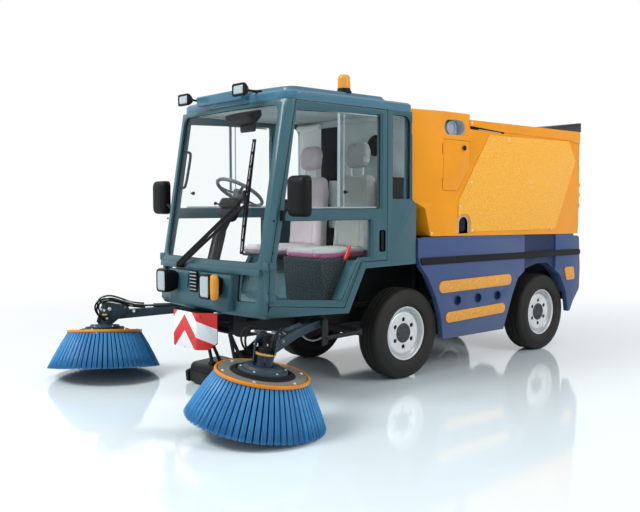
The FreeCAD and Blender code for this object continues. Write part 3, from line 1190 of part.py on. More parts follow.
def hopper_shell():
    """Folded sheet body with the tower, the hollow for the litter, the side openings and the lugs."""
    wide = BODY_HALF_WIDTH
    toe = HOPPER_FRONT + TOE_FOLD_BACK
    side = [(HOPPER_FRONT, HOPPER_BOTTOM + TOE_RISE), (toe, HOPPER_BOTTOM + TOE_FOLD_RISE, 30), (TOE_BACK, HOPPER_BOTTOM, 20),
            (HOPPER_REAR, HOPPER_BOTTOM - HOPPER_FLOOR_SLOPE), (HOPPER_REAR, HOPPER_TOP, 30), (TOWER_REAR, HOPPER_TOP),
            (TOWER_REAR, TOWER_TOP, 10), (HOPPER_FRONT, TOWER_TOP, 20)]
    body = side_prism(side, -wide, wide)
    taper = tower_taper()
    body = body.cut(taper).cut(mirrored(taper))
    body = body.fuse(lid_band()).fuse(mirrored(lid_band()))
    wall = HOPPER_WALL
    inner = HOPPER_DOOR_HALF - 30
    room_front = TOWER_REAR + 54
    floor_z, roof_z = HOPPER_BOTTOM + wall, HOPPER_TOP - wall
    throat = side_prism([(room_front, floor_z, 60), (HOPPER_REAR + 10, floor_z), (HOPPER_REAR + 10, HOPPER_DOOR_TOP - 20),
                         (HOPPER_REAR - 60, roof_z), (room_front, roof_z, 40)], -inner, inner)
    room = block(wall - wide, wide - wall, room_front, HOPPER_REAR - 92, floor_z, roof_z)
    recess = block(-HOPPER_DOOR_HALF - 5, HOPPER_DOOR_HALF + 5, HOPPER_REAR - HOPPER_DOOR_THICKNESS, HOPPER_REAR + 20,
                   HOPPER_DOOR_BOTTOM - 5, HOPPER_TOP - 15)
    body = body.cut(throat).cut(room).cut(recess)
    body = body.cut(side_openings())
    hinge_end = HOPPER_DOOR_HALF + 10
    body = body.fuse(rod(Vector(-hinge_end, HOPPER_HINGE_Y, HOPPER_HINGE_Z), Vector(hinge_end, HOPPER_HINGE_Y, HOPPER_HINGE_Z),
                         HOPPER_HINGE_PIN))
    for z in hatch_hinges():
        body = hatch_eyes(body, z)
    for sign in (1, -1):
        body = tipping_notch(body, sign * TIP_LUG_X)
    return body.removeSplitter()


def side_openings():
    """Locker behind the hatch, air outlet, rounded bay low on the side and the slot under the lid."""
    face = BODY_HALF_WIDTH
    seat_cut = side_prism(hatch_outline(0), face - HATCH_DEPTH - SEAT, face + 50)
    locker = side_prism(hatch_outline(26), face - LOCKER_DEPTH, face)
    outlet_z = TOWER_TOP - 112
    outlet = side_prism(rounded_box(HATCH_FRONT + 130, outlet_z, 119, 58, 56), face - 70, face + 20)
    bay = side_prism([(HOPPER_FRONT + 499, HOPPER_BOTTOM - 60), (HOPPER_FRONT + 499, HOPPER_BOTTOM + 149, 60),
                      (HOPPER_FRONT + 634, HOPPER_BOTTOM + 149, 60), (HOPPER_FRONT + 634, HOPPER_BOTTOM - 60)],
                     face - 50, face + 20)
    bay = bay.cut(block(0, face + 50, 0, HOPPER_REAR, 0, HOPPER_BOTTOM + 12))
    slot = side_prism([(TOWER_REAR + 6, HOPPER_TOP - 72, 8), (TOWER_REAR + 6, HOPPER_TOP - 48, 8),
                       (TOWER_REAR + 448, HOPPER_TOP - 72, 4), (TOWER_REAR + 448, HOPPER_TOP - 84, 4)], face - 24, face + 20)
    openings = [seat_cut, locker, outlet, bay, slot]
    return Part.Compound([piece for piece in openings] + [mirrored(piece) for piece in openings[2:]])


def lid_band():
    """Folded edge of the lid that stands proud of the side, with its deeper corner at the rear."""
    face = BODY_HALF_WIDTH
    low = HOPPER_TOP - LID_BAND
    back = HOPPER_REAR
    return side_prism([(TOWER_REAR, low + 20), (TOWER_REAR, HOPPER_TOP - 2), (back - 4, HOPPER_TOP - 2, 14),
                       (back - 4, low - 46, 14), (back - 176, low - 20, 20), (TOWER_REAR + 470, low - 6, 40)],
                      face - 5, face + LID_PROUD)


def hatch_hinges():
    return HATCH_LOW + 56, HATCH_HIGH - 75


def hatch_eyes(body, z):
    """Groove for the hatch's barrel, with the pin and the two eyes that hold it."""
    half = HATCH_HINGE_LENGTH / 2
    at = Vector(HATCH_HINGE_X, HATCH_HINGE_Y, z)
    up = Vector(0, 0, 1)
    groove = rod(at - up * (half + 1), at + up * (half + 1), HATCH_BARREL + 1.5)
    pin = rod(at - up * (half + 10), at + up * (half + 10), HATCH_PIN)
    low_eye = rod(at - up * (half + 10), at - up * (half + 1), HATCH_BARREL)
    high_eye = rod(at + up * (half + 1), at + up * (half + 10), HATCH_BARREL)
    return body.cut(groove).fuse(fused(pin, low_eye, high_eye))


def tipping_notch(body, x):
    """Clearance for the frame's lug and the pin that passes through it."""
    half = TIP_LUG_WIDTH / 2
    y, z = TIP_PIN_Y, TIP_PIN_Z
    notch = side_prism([(y - 34, z - 65), (y - 34, z + 32, 30), (HOPPER_REAR + 20, z + 32), (HOPPER_REAR + 20, z - 65)],
                       x - half - SWING_GAP, x + half + SWING_GAP)
    pin = rod(Vector(x - half - 20, y, z), Vector(x + half + 20, y, z), TIP_PIN_RADIUS)
    return body.cut(notch).fuse(pin)


def service_hatch():
    """Hatch plate that lies flush in the hopper's side, with its leaves, bored barrels and lock."""
    face = BODY_HALF_WIDTH
    plate = side_prism(hatch_outline(3), face - HATCH_DEPTH, face)
    half = HATCH_HINGE_LENGTH / 2
    for z in hatch_hinges():
        at = Vector(HATCH_HINGE_X, HATCH_HINGE_Y, z)
        low, high = at - Vector(0, 0, half), at + Vector(0, 0, half)
        leaf = block(face, face + HATCH_HINGE_OUT + 1, HATCH_HINGE_Y, HATCH_HINGE_Y + 40, z - half, z + half)
        plate = plate.fuse(rod(low, high, HATCH_BARREL)).fuse(leaf)
        plate = plate.cut(rod(low - Vector(0, 0, 40), high + Vector(0, 0, 40), HATCH_PIN + PIN_PLAY))
    lock = rod(Vector(face - 5, HATCH_FRONT + 252, HATCH_HIGH - 55), Vector(face + 2, HATCH_FRONT + 252, HATCH_HIGH - 55), 14)
    return plate.fuse(lock).removeSplitter()


def hopper_panels():
    """Large bonded side panel of the hopper, behind the hatch and under the lid."""
    low = HOPPER_BOTTOM + 22
    front = HOPPER_FRONT + 497
    bay_front, bay_back = HOPPER_FRONT + 485, HOPPER_FRONT + 648
    panel = side_prism([(front, low, 12), (front, HOPPER_BOTTOM + 262, 20), (HOPPER_FRONT + 873, HOPPER_TOP - 103, 20),
                        (HOPPER_REAR - 190, HOPPER_TOP - 95, 20), (HOPPER_REAR - 71, HOPPER_TOP - 263, 20),
                        (HOPPER_REAR - 383, low, 20)], BODY_HALF_WIDTH + SEAT, BODY_HALF_WIDTH + PANEL_PROUD)
    gap = side_prism([(bay_front, low - 20), (bay_front, HOPPER_BOTTOM + 163, 68), (bay_back, HOPPER_BOTTOM + 163, 68),
                      (bay_back, low - 20)], BODY_HALF_WIDTH - 10, BODY_HALF_WIDTH + 20)
    hatch_edge = side_prism(hatch_outline(-10), BODY_HALF_WIDTH - 10, BODY_HALF_WIDTH + 20)
    return both_sides(panel.cut(gap).cut(hatch_edge))


def hopper_hood():
    """Dark wedge on top of the rear, over the hopper's air outlets, with four slots in its rear face."""
    front, back = HOPPER_REAR - 598, HOPPER_REAR + 35
    half = BODY_HALF_WIDTH - 10
    wedge = side_prism([(front, HOPPER_TOP + SEAT), (back - 47, HOPPER_TOP + 79, 20), (back, HOPPER_TOP + 83, 6),
                        (back, HOPPER_TOP + SEAT)], -half, half)
    pitch = half / 2
    for i in range(4):
        centre = (i - 1.5) * pitch
        slot = front_prism(rounded_box(centre, HOPPER_TOP + 42, pitch / 2 - 22, 20, 12), back - 45, back + 5)
        wedge = wedge.cut(slot)
    return wedge


def tail_lamps():
    """Column on each rear corner with three hooded round lamps."""
    face = HOPPER_REAR + SEAT
    x = BODY_HALF_WIDTH - 62
    low, high = HOPPER_BOTTOM + 20, HOPPER_BOTTOM + 610
    column = front_prism([(x - 48, low, 8), (BODY_HALF_WIDTH - 6, low, 8), (BODY_HALF_WIDTH - 6, high - 20, 20),
                          (x - 20, high, 20), (x - 48, high - 60, 20)], face, face + 16)
    pods = []
    for rise in (228, 320, 411):
        centre = Vector(x, face + 10, HOPPER_BOTTOM + rise)
        pods.append(turned([(0, 0), (0, TAIL_LAMP_RADIUS), (TAIL_LAMP_LENGTH, TAIL_LAMP_RADIUS - 5, 8),
                            (TAIL_LAMP_LENGTH, 28), (TAIL_LAMP_LENGTH - 14, 28), (TAIL_LAMP_LENGTH - 14, 0)],
                           centre, Vector(0, 1, 0)))
    return both_sides(fused(column, *pods))


def hopper_door():
    """Rear door with pressed ribs, hung from three bored barrels at its top edge."""
    half = HOPPER_DOOR_HALF
    low, high = HOPPER_DOOR_BOTTOM, HOPPER_DOOR_TOP
    inner, outer = HOPPER_REAR - HOPPER_DOOR_THICKNESS + SEAT, HOPPER_REAR - 2
    door = block(-half, half, inner, outer, low, high)
    for x in (-half * 0.62, 0, half * 0.62):
        rib = front_taper(rounded_box(x, (low + high) / 2, 95, 300, 30), outer - 10,
                          rounded_box(x, (low + high) / 2, 110, 315, 36), outer + 1)
        door = door.cut(rib)
    grip = front_prism(rounded_box(0, low + 48, 130, 16, 10), outer - 1, outer + 22)
    door = door.fuse(grip)
    y, z = HOPPER_HINGE_Y, HOPPER_HINGE_Z
    outer_hinge = half - 140
    for x in (-outer_hinge, 0, outer_hinge):
        barrel = rod(Vector(x - 50, y, z), Vector(x + 50, y, z), HOPPER_HINGE_RADIUS)
        web = block(x - 50, x + 50, y - 12, y + 12, high - 10, z)
        door = door.fuse(barrel).fuse(web)
    bore = rod(Vector(-half - 10, y, z), Vector(half + 10, y, z), HOPPER_HINGE_PIN + PIN_PLAY)
    return door.cut(bore).removeSplitter()


# Brushes
def brush_axis():
    return Vector(math.tan(math.radians(BRUSH_TILT_OUT)), math.tan(math.radians(BRUSH_TILT_BACK)), 1).normalize()


def pleated(radius, z):
    """Closed wire round the bristles: a ring of tufts, each with a valley beside it."""
    corners = []
    for i in range(BRUSH_PLEATS):
        for share, depth in ((0.0, 0.0), (0.62, 0.0), (0.72, BRUSH_PLEAT_DEPTH), (0.90, BRUSH_PLEAT_DEPTH)):
            angle = 2 * math.pi * (i + share) / BRUSH_PLEATS
            reach = radius - depth * radius / BRUSH_TIP_RADIUS
            corners.append(Vector(reach * math.cos(angle), reach * math.sin(angle), z))
    return Part.makePolygon(corners + corners[:1])


def brush():
    """Disc with its rim ring and the flaring skirt of bristle tufts, hollow inside, with the shaft bore."""
    thick = BRUSH_DISC_THICKNESS
    bore = BRUSH_SHAFT + PIN_PLAY
    radius = BRUSH_DISC_RADIUS
    disc = turned([(0, bore), (0, radius - 22), (4, radius - 18), (4, radius, 3), (-thick * 2, radius + 4, 3),
                   (-thick * 2, radius - 60), (-thick, radius - 64), (-thick, 60), (-thick * 2, 56), (-thick * 2, bore)],
                  Vector(0, 0, 0), Vector(0, 0, 1))
    top, tip = -thick * 2 + 1, -BRUSH_HEIGHT
    skirt = lofted([pleated(radius - 2, top), pleated(BRUSH_TIP_RADIUS, tip)])
    inside = turned([(top + 5, 0), (top + 5, radius - 58), (tip - 5, BRUSH_TIP_RADIUS - 68), (tip - 5, 0)],
                    Vector(0, 0, 0), Vector(0, 0, 1))
    piece = disc.fuse(skirt.cut(inside))
    turn = FreeCAD.Rotation(Vector(0, 0, 1), brush_axis())
    piece.Placement = FreeCAD.Placement(Vector(BRUSH_X, BRUSH_Y, BRUSH_Z), turn)
    return piece


# Brush arms, in their own axes: along the arm from its root, across it, and up
def arm_placement():
    along = Vector(BRUSH_X - ARM_ROOT_X, BRUSH_Y - ARM_ROOT_Y, 0)
    turn = FreeCAD.Rotation(Vector(0, 0, 1), math.degrees(math.atan2(along.y, along.x)))
    return FreeCAD.Placement(Vector(ARM_ROOT_X, ARM_ROOT_Y, ARM_ROOT_Z), turn)


def arm_piece(shape):
    placed = shape.copy()
    placed.Placement = arm_placement().multiply(placed.Placement)
    return placed


def arm_mount():
    """Fork on the frame's rail for the swing pin, with the guard plate and its bar below."""
    pivot = arm_placement().multVec(Vector(-SWING_OFFSET, 0, 0))
    low = ARM_ROOT_Z - SWING_HALF_HEIGHT - PIN_SIDE_GAP
    high = ARM_ROOT_Z + SWING_HALF_HEIGHT + PIN_SIDE_GAP
    face = RAIL_X + RAIL_WIDTH / 2
    y0, y1 = pivot.y - SWING_BARREL, pivot.y + SWING_BARREL
    pieces = [block(face, pivot.x - 45, y0, y1, low - EAR, high + EAR)]
    for z in (low - EAR, high):
        pieces.append(block(pivot.x - 60, pivot.x, y0, y1, z, z + EAR))
        pieces.append(Part.makeCylinder(SWING_BARREL, EAR, Vector(pivot.x, pivot.y, z)))
    pieces.append(rod(Vector(pivot.x, pivot.y, low - EAR / 2), Vector(pivot.x, pivot.y, high + EAR / 2), SWING_PIN))
    bar_y0, bar_y1, bar_z = ARM_ROOT_Y - 20, -TYRE_RADIUS - 150, RAIL_BOTTOM - 2
    bar_x = ARM_ROOT_X + 114
    pieces.append(block(face, bar_x - 20, bar_y1, bar_y1 + 36, bar_z - 22, bar_z + 22))
    pieces.append(rod(Vector(bar_x, bar_y0, bar_z), Vector(bar_x - 30, bar_y1 + 18, bar_z), 16))
    plate = side_prism([(ARM_ROOT_Y - 58, bar_z - 55, 10), (ARM_ROOT_Y - 58, bar_z + 124, 10), (ARM_ROOT_Y - 8, bar_z + 124, 10),
                        (ARM_ROOT_Y - 8, bar_z - 40, 10)], bar_x - 2, bar_x + 8)
    pieces.append(plate)
    return fused(*pieces)


def arm_bracket():
    """Swing bracket: a barrel round the swing pin and two ears that carry the lift pin."""
    half = ARM_WIDTH / 2 + PIN_SIDE_GAP
    height = SWING_HALF_HEIGHT
    reach = half + EAR
    pieces = [Part.makeCylinder(SWING_BARREL, 2 * height, Vector(-SWING_OFFSET, 0, -height))]
    pieces.append(block(-SWING_OFFSET + 10, -ARM_BOSS - 8, -reach, reach, 10 - height, height - 10))
    for y in (-reach, half):
        pieces.append(block(-ARM_BOSS - 10, 0, y, y + EAR, -ARM_BOSS, ARM_BOSS))
        pieces.append(Part.makeCylinder(ARM_BOSS, EAR, Vector(0, y, 0), Vector(0, 1, 0)))
    pieces.append(Part.makeCylinder(LIFT_PIN, 2 * reach, Vector(0, -reach, 0), Vector(0, 1, 0)))
    bore = Part.makeCylinder(SWING_PIN + PIN_PLAY, 4 * height, Vector(-SWING_OFFSET, 0, -2 * height))
    return arm_piece(fused(*pieces).cut(bore))


def sweep_arm():
    """Arm with its lift boss, the strut above it, and the head with the brush motor and its pipes."""
    half = ARM_WIDTH / 2
    length = math.hypot(BRUSH_X - ARM_ROOT_X, BRUSH_Y - ARM_ROOT_Y)
    drop = ARM_ROOT_Z - BRUSH_Z
    end_top, end_low = 131 - drop, 81 - drop
    boss = Part.makeCylinder(ARM_BOSS - 1, ARM_WIDTH, Vector(0, -half, 0), Vector(0, 1, 0))
    beam = front_prism([(10, 24), (length * 0.48, 28, 200), (length - 90, end_top + 18, 60), (length - 20, end_top),
                        (length - 20, end_low), (length - 110, end_low + 4, 60), (length * 0.48, -26, 200), (10, -24)],
                       -half, half)
    lug = front_prism([(330, 20), (342, 52, 12), (388, 52, 12), (400, 20)], -9, 9)
    cylinder = rod(Vector(365, 0, 38), Vector(length - 360, 0, 38), 15)
    strut = rod(Vector(length - 370, 0, 38), Vector(length - 60, 0, 38), 8)
    cheek = front_prism([(length - 190, end_top + 30, 14), (length - 60, end_top + 78, 20), (length + 20, end_top + 60, 20),
                         (length + 60, end_low - 20, 16), (length - 60, end_low - 32, 16)], half, half + 9)
    other_cheek = front_prism([(length - 190, end_top + 30, 14), (length - 60, end_top + 78, 20),
                               (length + 20, end_top + 60, 20), (length + 60, end_low - 20, 16),
                               (length - 60, end_low - 32, 16)], -half - 9, -half)
    pivot = rod(Vector(length - 40, -half - 18, end_top + 34), Vector(length - 40, half + 18, end_top + 34), 12)
    pipes = [pressure_pipe(side, length) for side in (-1, 1)]
    piece = fused(boss, beam, lug, cylinder, strut, cheek, other_cheek, pivot, *pipes)
    bore = Part.makeCylinder(LIFT_PIN + PIN_PLAY, 4 * ARM_WIDTH, Vector(0, -2 * ARM_WIDTH, 0), Vector(0, 1, 0))
    return fused(arm_piece(piece.cut(bore)), *brush_head())


def pressure_pipe(side, length):
    """Steel pipe bent from the side of the beam up and over to the top of the brush motor."""
    drop = ARM_ROOT_Z - BRUSH_Z
    top = HEAD_GAP + HEAD_THICKNESS + MOTOR_HEIGHT - drop
    points = [(length - 240, 0), (length - 170, 0, 60), (length - 120, top + 66, 55), (length - 20, top + 80, 50),
              (length + 2, top - 12)]
    pipe = tube(route(points, lambda p: Vector(p.x, 0, p.y)), PIPE_RADIUS)
    pipe.translate(Vector(0, side * (ARM_WIDTH / 2 + PIPE_RADIUS - 4), 0))
    return pipe


def brush_head():
    """Saddle plate over the brush disc, the motor with its flange and cap, and the drive shaft."""
    centre = Vector(BRUSH_X, BRUSH_Y, BRUSH_Z)
    axis = brush_axis()
    top = HEAD_GAP + HEAD_THICKNESS
    plate = turned([(HEAD_GAP, 0), (HEAD_GAP, HEAD_RADIUS, 5), (top, HEAD_RADIUS - 4, 8), (top, 0)], centre, axis)
    ring = turned([(top - 1, 60), (top - 1, HEAD_RADIUS - 30), (top + 16, HEAD_RADIUS - 44, 6), (top + 16, 60)], centre, axis)
    height = top + MOTOR_HEIGHT
    motor = turned([(HEAD_GAP, 0), (HEAD_GAP, MOTOR_RADIUS), (height - 40, MOTOR_RADIUS, 4), (height - 40, MOTOR_RADIUS + 9),
                    (height - 28, MOTOR_RADIUS + 9), (height - 28, MOTOR_RADIUS - 6), (height, MOTOR_RADIUS - 10, 8),
                    (height, MOTOR_CAP_RADIUS), (height + MOTOR_CAP_HEIGHT, MOTOR_CAP_RADIUS - 4, 6),
                    (height + MOTOR_CAP_HEIGHT, 0)], centre, axis)
    shaft = rod(centre - axis * (BRUSH_DISC_THICKNESS * 2 + 6), centre + axis * (HEAD_GAP + 5), BRUSH_SHAFT)
    return [plate, ring, motor, shaft]


def export(name, shape):
    """Shift a piece to the machine's origin and write it."""
    placed = shape.copy()
    placed.translate(Vector(0, ORIGIN_SHIFT, 0))
    if not placed.isValid():
        print("invalid", name)
    NODES[name] = placed
    placed.exportStep("parts/" + name + ".step")


def main():
    os.makedirs("parts", exist_ok=True)
    single = {
        "chassis_frame": chassis_frame, "tipping_frame": tipping_frame, "engine_block": engine_block, "axles": axles,
        "cab_floor": cab_floor, "cab_front": cab_front, "cab_rear": cab_rear, "cab_roof": cab_roof,
        "cab_glass": cab_glass, "steering_column": steering_column, "steering_wheel": steering_wheel,
        "seats": seats, "wiper": wiper, "lamps": lamps,
        "chevron_board": chevron_board, "suction_nozzle": suction_nozzle, "suction_duct": suction_duct,
        "body_shell": body_shell, "belt_moulding": belt, "side_markers": markers, "hopper_shell": hopper_shell,
        "hopper_side_panels": hopper_panels, "hopper_hood": hopper_hood, "tail_lamps": tail_lamps,
        "hopper_door": hopper_door, "service_hatch": service_hatch,
    }
    for name, make in single.items():
        export(name, make())
    export("arm_mounts", both_sides(arm_mount()))
    paired = {
        "door_{}": door_frame, "door_{}_glass": door_glass, "mirror_{}": mirror, "knuckle_{}": knuckle,
        "brush_{}": brush, "arm_bracket_{}": arm_bracket, "sweep_arm_{}": sweep_arm,
    }
    for name, make in paired.items():
        shape = make()
        export(name.format("left"), shape)
        export(name.format("right"), mirrored(shape))
    for end, y in (("front", 0.0), ("rear", WHEELBASE)):
        for side, x in (("left", WHEEL_X), ("right", -WHEEL_X)):
            export("tyre_" + end + "_" + side, tyre(x, y))
            export("rim_" + end + "_" + side, rim(x, y))
    low = min(shape.BoundBox.YMin for shape in NODES.values())
    high = max(shape.BoundBox.YMax for shape in NODES.values())
    print("pieces", len(NODES), "length", low, high, "middle", (low + high) / 2)


main()
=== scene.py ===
import bpy
import bmesh
import json
import math
import random
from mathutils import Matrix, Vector


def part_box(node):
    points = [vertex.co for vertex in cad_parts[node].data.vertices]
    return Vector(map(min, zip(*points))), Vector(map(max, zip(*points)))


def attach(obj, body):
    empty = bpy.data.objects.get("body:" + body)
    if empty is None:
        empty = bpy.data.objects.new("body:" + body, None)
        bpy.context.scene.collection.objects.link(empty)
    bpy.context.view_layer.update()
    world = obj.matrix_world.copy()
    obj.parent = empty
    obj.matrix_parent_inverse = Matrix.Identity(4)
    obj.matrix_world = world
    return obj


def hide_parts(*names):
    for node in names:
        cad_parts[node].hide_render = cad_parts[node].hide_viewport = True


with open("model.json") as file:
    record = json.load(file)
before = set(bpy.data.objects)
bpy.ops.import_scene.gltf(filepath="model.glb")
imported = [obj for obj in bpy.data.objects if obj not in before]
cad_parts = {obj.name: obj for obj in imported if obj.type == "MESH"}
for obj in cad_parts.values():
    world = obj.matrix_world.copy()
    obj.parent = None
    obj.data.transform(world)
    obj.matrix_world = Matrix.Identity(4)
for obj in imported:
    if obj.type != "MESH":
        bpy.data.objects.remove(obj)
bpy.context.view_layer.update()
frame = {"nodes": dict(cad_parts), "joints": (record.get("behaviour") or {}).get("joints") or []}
hinge = {joint["name"]: joint for joint in frame["joints"]}

# The studio: a camera at the photographer's place, a polished white floor, a soft key lamp high on
# the photographer's left, a weaker one on the right and an even white surround.
bpy.context.scene.view_settings.view_transform = "Standard"


def colour(hex_text):
    """An sRGB hex colour as linear red, green, blue and full cover."""
    parts = [int(hex_text[i:i + 2], 16) / 255 for i in (1, 3, 5)]
    return tuple(p / 12.92 if p <= 0.04045 else ((p + 0.055) / 1.055) ** 2.4 for p in parts) + (1.0,)


def add(tree, kind, settings=(), links=()):
    """Add a node, set its properties or inputs by name, and link (input, socket) pairs to it."""
    node = tree.nodes.new(kind)
    for key, value in dict(settings).items():
        if isinstance(key, str) and hasattr(node, key):
            setattr(node, key, value)
        else:
            node.inputs[key].default_value = value
    for key, socket in links:
        tree.links.new(socket, node.inputs[key])
    return node


def start_material(name):
    """New node material; returns the material and its empty tree."""
    material = bpy.data.materials.new(name)
    material.use_nodes = True
    material.node_tree.nodes.clear()
    return material, material.node_tree


def place_in_scene(name, data):
    """New object with this data, linked to the scene."""
    thing = bpy.data.objects.new(name, data)
    bpy.context.scene.collection.objects.link(thing)
    return thing


def finish_with(tree, shader):
    """Join a shader to the material's surface."""
    add(tree, "ShaderNodeOutputMaterial", {}, [("Surface", shader.outputs[0])])


camera_data = bpy.data.cameras.new("camera")
camera_data.sensor_width = 36.0
camera_data.lens = 43.87
camera = place_in_scene("camera", camera_data)
camera.location = (4.4683, -4.3638, 1.2886)
camera.rotation_euler = Vector((-0.7509, 0.6569, -0.0670)).to_track_quat("-Z", "Y").to_euler()
bpy.context.scene.camera = camera


def maths(tree, operation, *values):
    """Math node; each value is a number or the socket it comes from."""
    node = add(tree, "ShaderNodeMath", {"operation": operation})
    for place, value in enumerate(values):
        if isinstance(value, float):
            node.inputs[place].default_value = value
        else:
            tree.links.new(value, node.inputs[place])
    return node


def seen_directly(tree):
    """1 for rays from the camera, from a gloss or through glass, 0 for the light that fills."""
    path = add(tree, "ShaderNodeLightPath")
    seen = maths(tree, "MAXIMUM", path.outputs["Is Camera Ray"], path.outputs["Is Glossy Ray"])
    return maths(tree, "MAXIMUM", seen.outputs[0], path.outputs["Is Transmission Ray"])


# Polished white floor: near white, with a gloss that mirrors the wheels and brushes softly. Beyond
# the object it fades into the white surround.
floor_white, tree = start_material("polished_white_floor")
shader = add(tree, "ShaderNodeBsdfPrincipled",
             {"Base Color": colour("#EAF7FB"), "Roughness": 0.08, "IOR": 1.5})
glow = add(tree, "ShaderNodeEmission", {"Color": (1, 1, 1, 1), "Strength": 1.0})
place = add(tree, "ShaderNodeNewGeometry")
distance = add(tree, "ShaderNodeVectorMath", {"operation": "LENGTH"}, [(0, place.outputs["Position"])])
far = add(tree, "ShaderNodeMapRange", {"From Min": 2.6, "From Max": 6.6, "interpolation_type": "SMOOTHSTEP"},
          [("Value", distance.outputs["Value"])])
cover = maths(tree, "MULTIPLY", far.outputs[0], seen_directly(tree).outputs[0])
mix = add(tree, "ShaderNodeMixShader", {},
          [(0, cover.outputs[0]), (1, shader.outputs[0]), (2, glow.outputs[0])])
finish_with(tree, mix)

bm = bmesh.new()
bmesh.ops.create_grid(bm, x_segments=8, y_segments=8, size=30.0)
mesh = bpy.data.meshes.new("floor")
bm.to_mesh(mesh)
bm.free()
mesh.materials.append(floor_white)
place_in_scene("floor", mesh)

world = bpy.data.worlds.new("white_surround")
bpy.context.scene.world = world
world.use_nodes = True
tree = world.node_tree
tree.nodes.clear()
white = add(tree, "ShaderNodeBackground", {"Color": (1, 1, 1, 1), "Strength": 1.0})
fill = add(tree, "ShaderNodeBackground", {"Color": colour("#F3F6FA"), "Strength": 0.70})
mix = add(tree, "ShaderNodeMixShader", {},
          [(0, seen_directly(tree).outputs[0]), (1, fill.outputs[0]), (2, white.outputs[0])])
add(tree, "ShaderNodeOutputWorld", {}, [("Surface", mix.outputs[0])])


def lamp(name, place, target, size, power):
    data = bpy.data.lights.new(name, "AREA")
    data.shape = "DISK"
    data.size = size
    data.energy = power
    light = place_in_scene(name, data)
    light.location = place
    light.rotation_euler = (Vector(target) - Vector(place)).to_track_quat("-Z", "Y").to_euler()


lamp("key", (-1.5, -6.5, 6.5), (0, 0, 0.9), 3.0, 450)
lamp("side", (7.0, 1.5, 5.0), (0, 0.3, 1.0), 3.0, 190)

# The frame: welded steel channels with their outriggers and lugs, under black chassis paint.
# The axles are castings, the engine a grey painted cast block, all with a film of road dust.


def noise(tree, here, scale, detail, rough=0.5):
    """Cloudy pattern in the piece's own place; scale is in clouds a metre."""
    return add(tree, "ShaderNodeTexNoise", {"Scale": scale, "Detail": detail, "Roughness": rough},
               [("Vector", here.outputs["Object"])])


def between(tree, first, second, share):
    """Colour that goes from one hex colour to another with a share socket."""
    return add(tree, "ShaderNodeMix", {"data_type": "RGBA", "A": colour(first), "B": colour(second)},
               [("Factor", share)])


def relief_from(tree, strength, metres, height):
    """Fine relief from a height socket."""
    return add(tree, "ShaderNodeBump", {"Strength": strength, "Distance": metres}, [("Height", height)])


def weathered(name, base, dusty, rough, grain_mm, bump, dust_height=0.5, coat=0.0, shine=0.25):
    """Painted or moulded surface with faint tone changes, dust low down and a fine grain."""
    material, tree = start_material(name)
    place = add(tree, "ShaderNodeNewGeometry")
    here = add(tree, "ShaderNodeTexCoord")
    tone = noise(tree, here, 3.0, 4.0, 0.6)
    height = add(tree, "ShaderNodeSeparateXYZ", {}, [(0, place.outputs["Position"])])
    low = add(tree, "ShaderNodeMapRange",
              {"From Min": dust_height, "From Max": 0.05, "To Min": 0.0, "To Max": 0.45},
              [("Value", height.outputs["Z"])])
    patch = maths(tree, "MULTIPLY", low.outputs[0], tone.outputs["Fac"])
    shade = between(tree, base, dusty, patch.outputs[0])
    lift = add(tree, "ShaderNodeMapRange", {"From Min": 0.3, "From Max": 0.7, "To Min": 0.94, "To Max": 1.06},
               [("Value", tone.outputs["Fac"])])
    vary = add(tree, "ShaderNodeHueSaturation", {}, [("Value", lift.outputs[0]),
                                                     ("Color", shade.outputs["Result"])])
    grain = noise(tree, here, 1000.0 / grain_mm, 3.0)
    relief = relief_from(tree, bump, grain_mm / 4000.0, grain.outputs["Fac"])
    gloss = add(tree, "ShaderNodeMapRange", {"To Min": rough - 0.05, "To Max": rough + 0.12},
                [("Value", tone.outputs["Fac"])])
    shader = add(tree, "ShaderNodeBsdfPrincipled",
                 {"Specular IOR Level": shine, "Coat Weight": coat, "Coat Roughness": 0.06},
                 [("Base Color", vary.outputs["Color"]), ("Roughness", gloss.outputs[0]),
                  ("Normal", relief.outputs["Normal"])])
    finish_with(tree, shader)
    return material


def paint_over(node, *materials):
    """Give a solid that keeps its own shape its finish."""
    mesh = frame["nodes"][node].data
    mesh.materials.clear()
    for material in materials:
        mesh.materials.append(material)


def roll_edges(piece, width, limit):
    """Round the sheet's folded edges."""
    edge = piece.modifiers.new("rolled_edges", "BEVEL")
    edge.width = width
    edge.segments = 2
    edge.limit_method = "ANGLE"
    edge.angle_limit = limit
    edge.use_clamp_overlap = True
    edge.harden_normals = True


def pressed(node, body, materials, edge_mm=2.5, sort=None):
    """Copy of a solid's surface with rolled edges, which stands for the solid.
    sort gives a face its material from its middle and its normal."""
    mesh = frame["nodes"][node].data.copy()
    mesh.materials.clear()
    for material in materials:
        mesh.materials.append(material)
    bm = bmesh.new()
    bm.from_mesh(mesh)
    bmesh.ops.remove_doubles(bm, verts=bm.verts, dist=2e-5)
    bm.normal_update()
    for face in bm.faces:
        face.material_index = sort(face.calc_center_median(), face.normal) if sort else 0
    bmesh.ops.dissolve_limit(bm, angle_limit=math.radians(0.8), verts=bm.verts, edges=bm.edges,
                             delimit={"MATERIAL"})
    bm.to_mesh(mesh)
    bm.free()
    piece = place_in_scene(node + "_skin", mesh)
    mesh.shade_smooth()
    roll_edges(piece, edge_mm / 1000, math.radians(38))
    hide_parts(node)
    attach(piece, body)
    return piece


# Chassis enamel on steel: near black, satin, dust grey below
chassis_enamel = weathered("black_chassis_enamel", "#131617", "#4A4843", 0.45, 3.0, 0.15, 0.6)
# Sand-cast iron under grey engine paint: dull, coarse grain
cast_iron_paint = weathered("painted_cast_iron", "#3E4446", "#55524C", 0.6, 4.0, 0.35, 0.7)
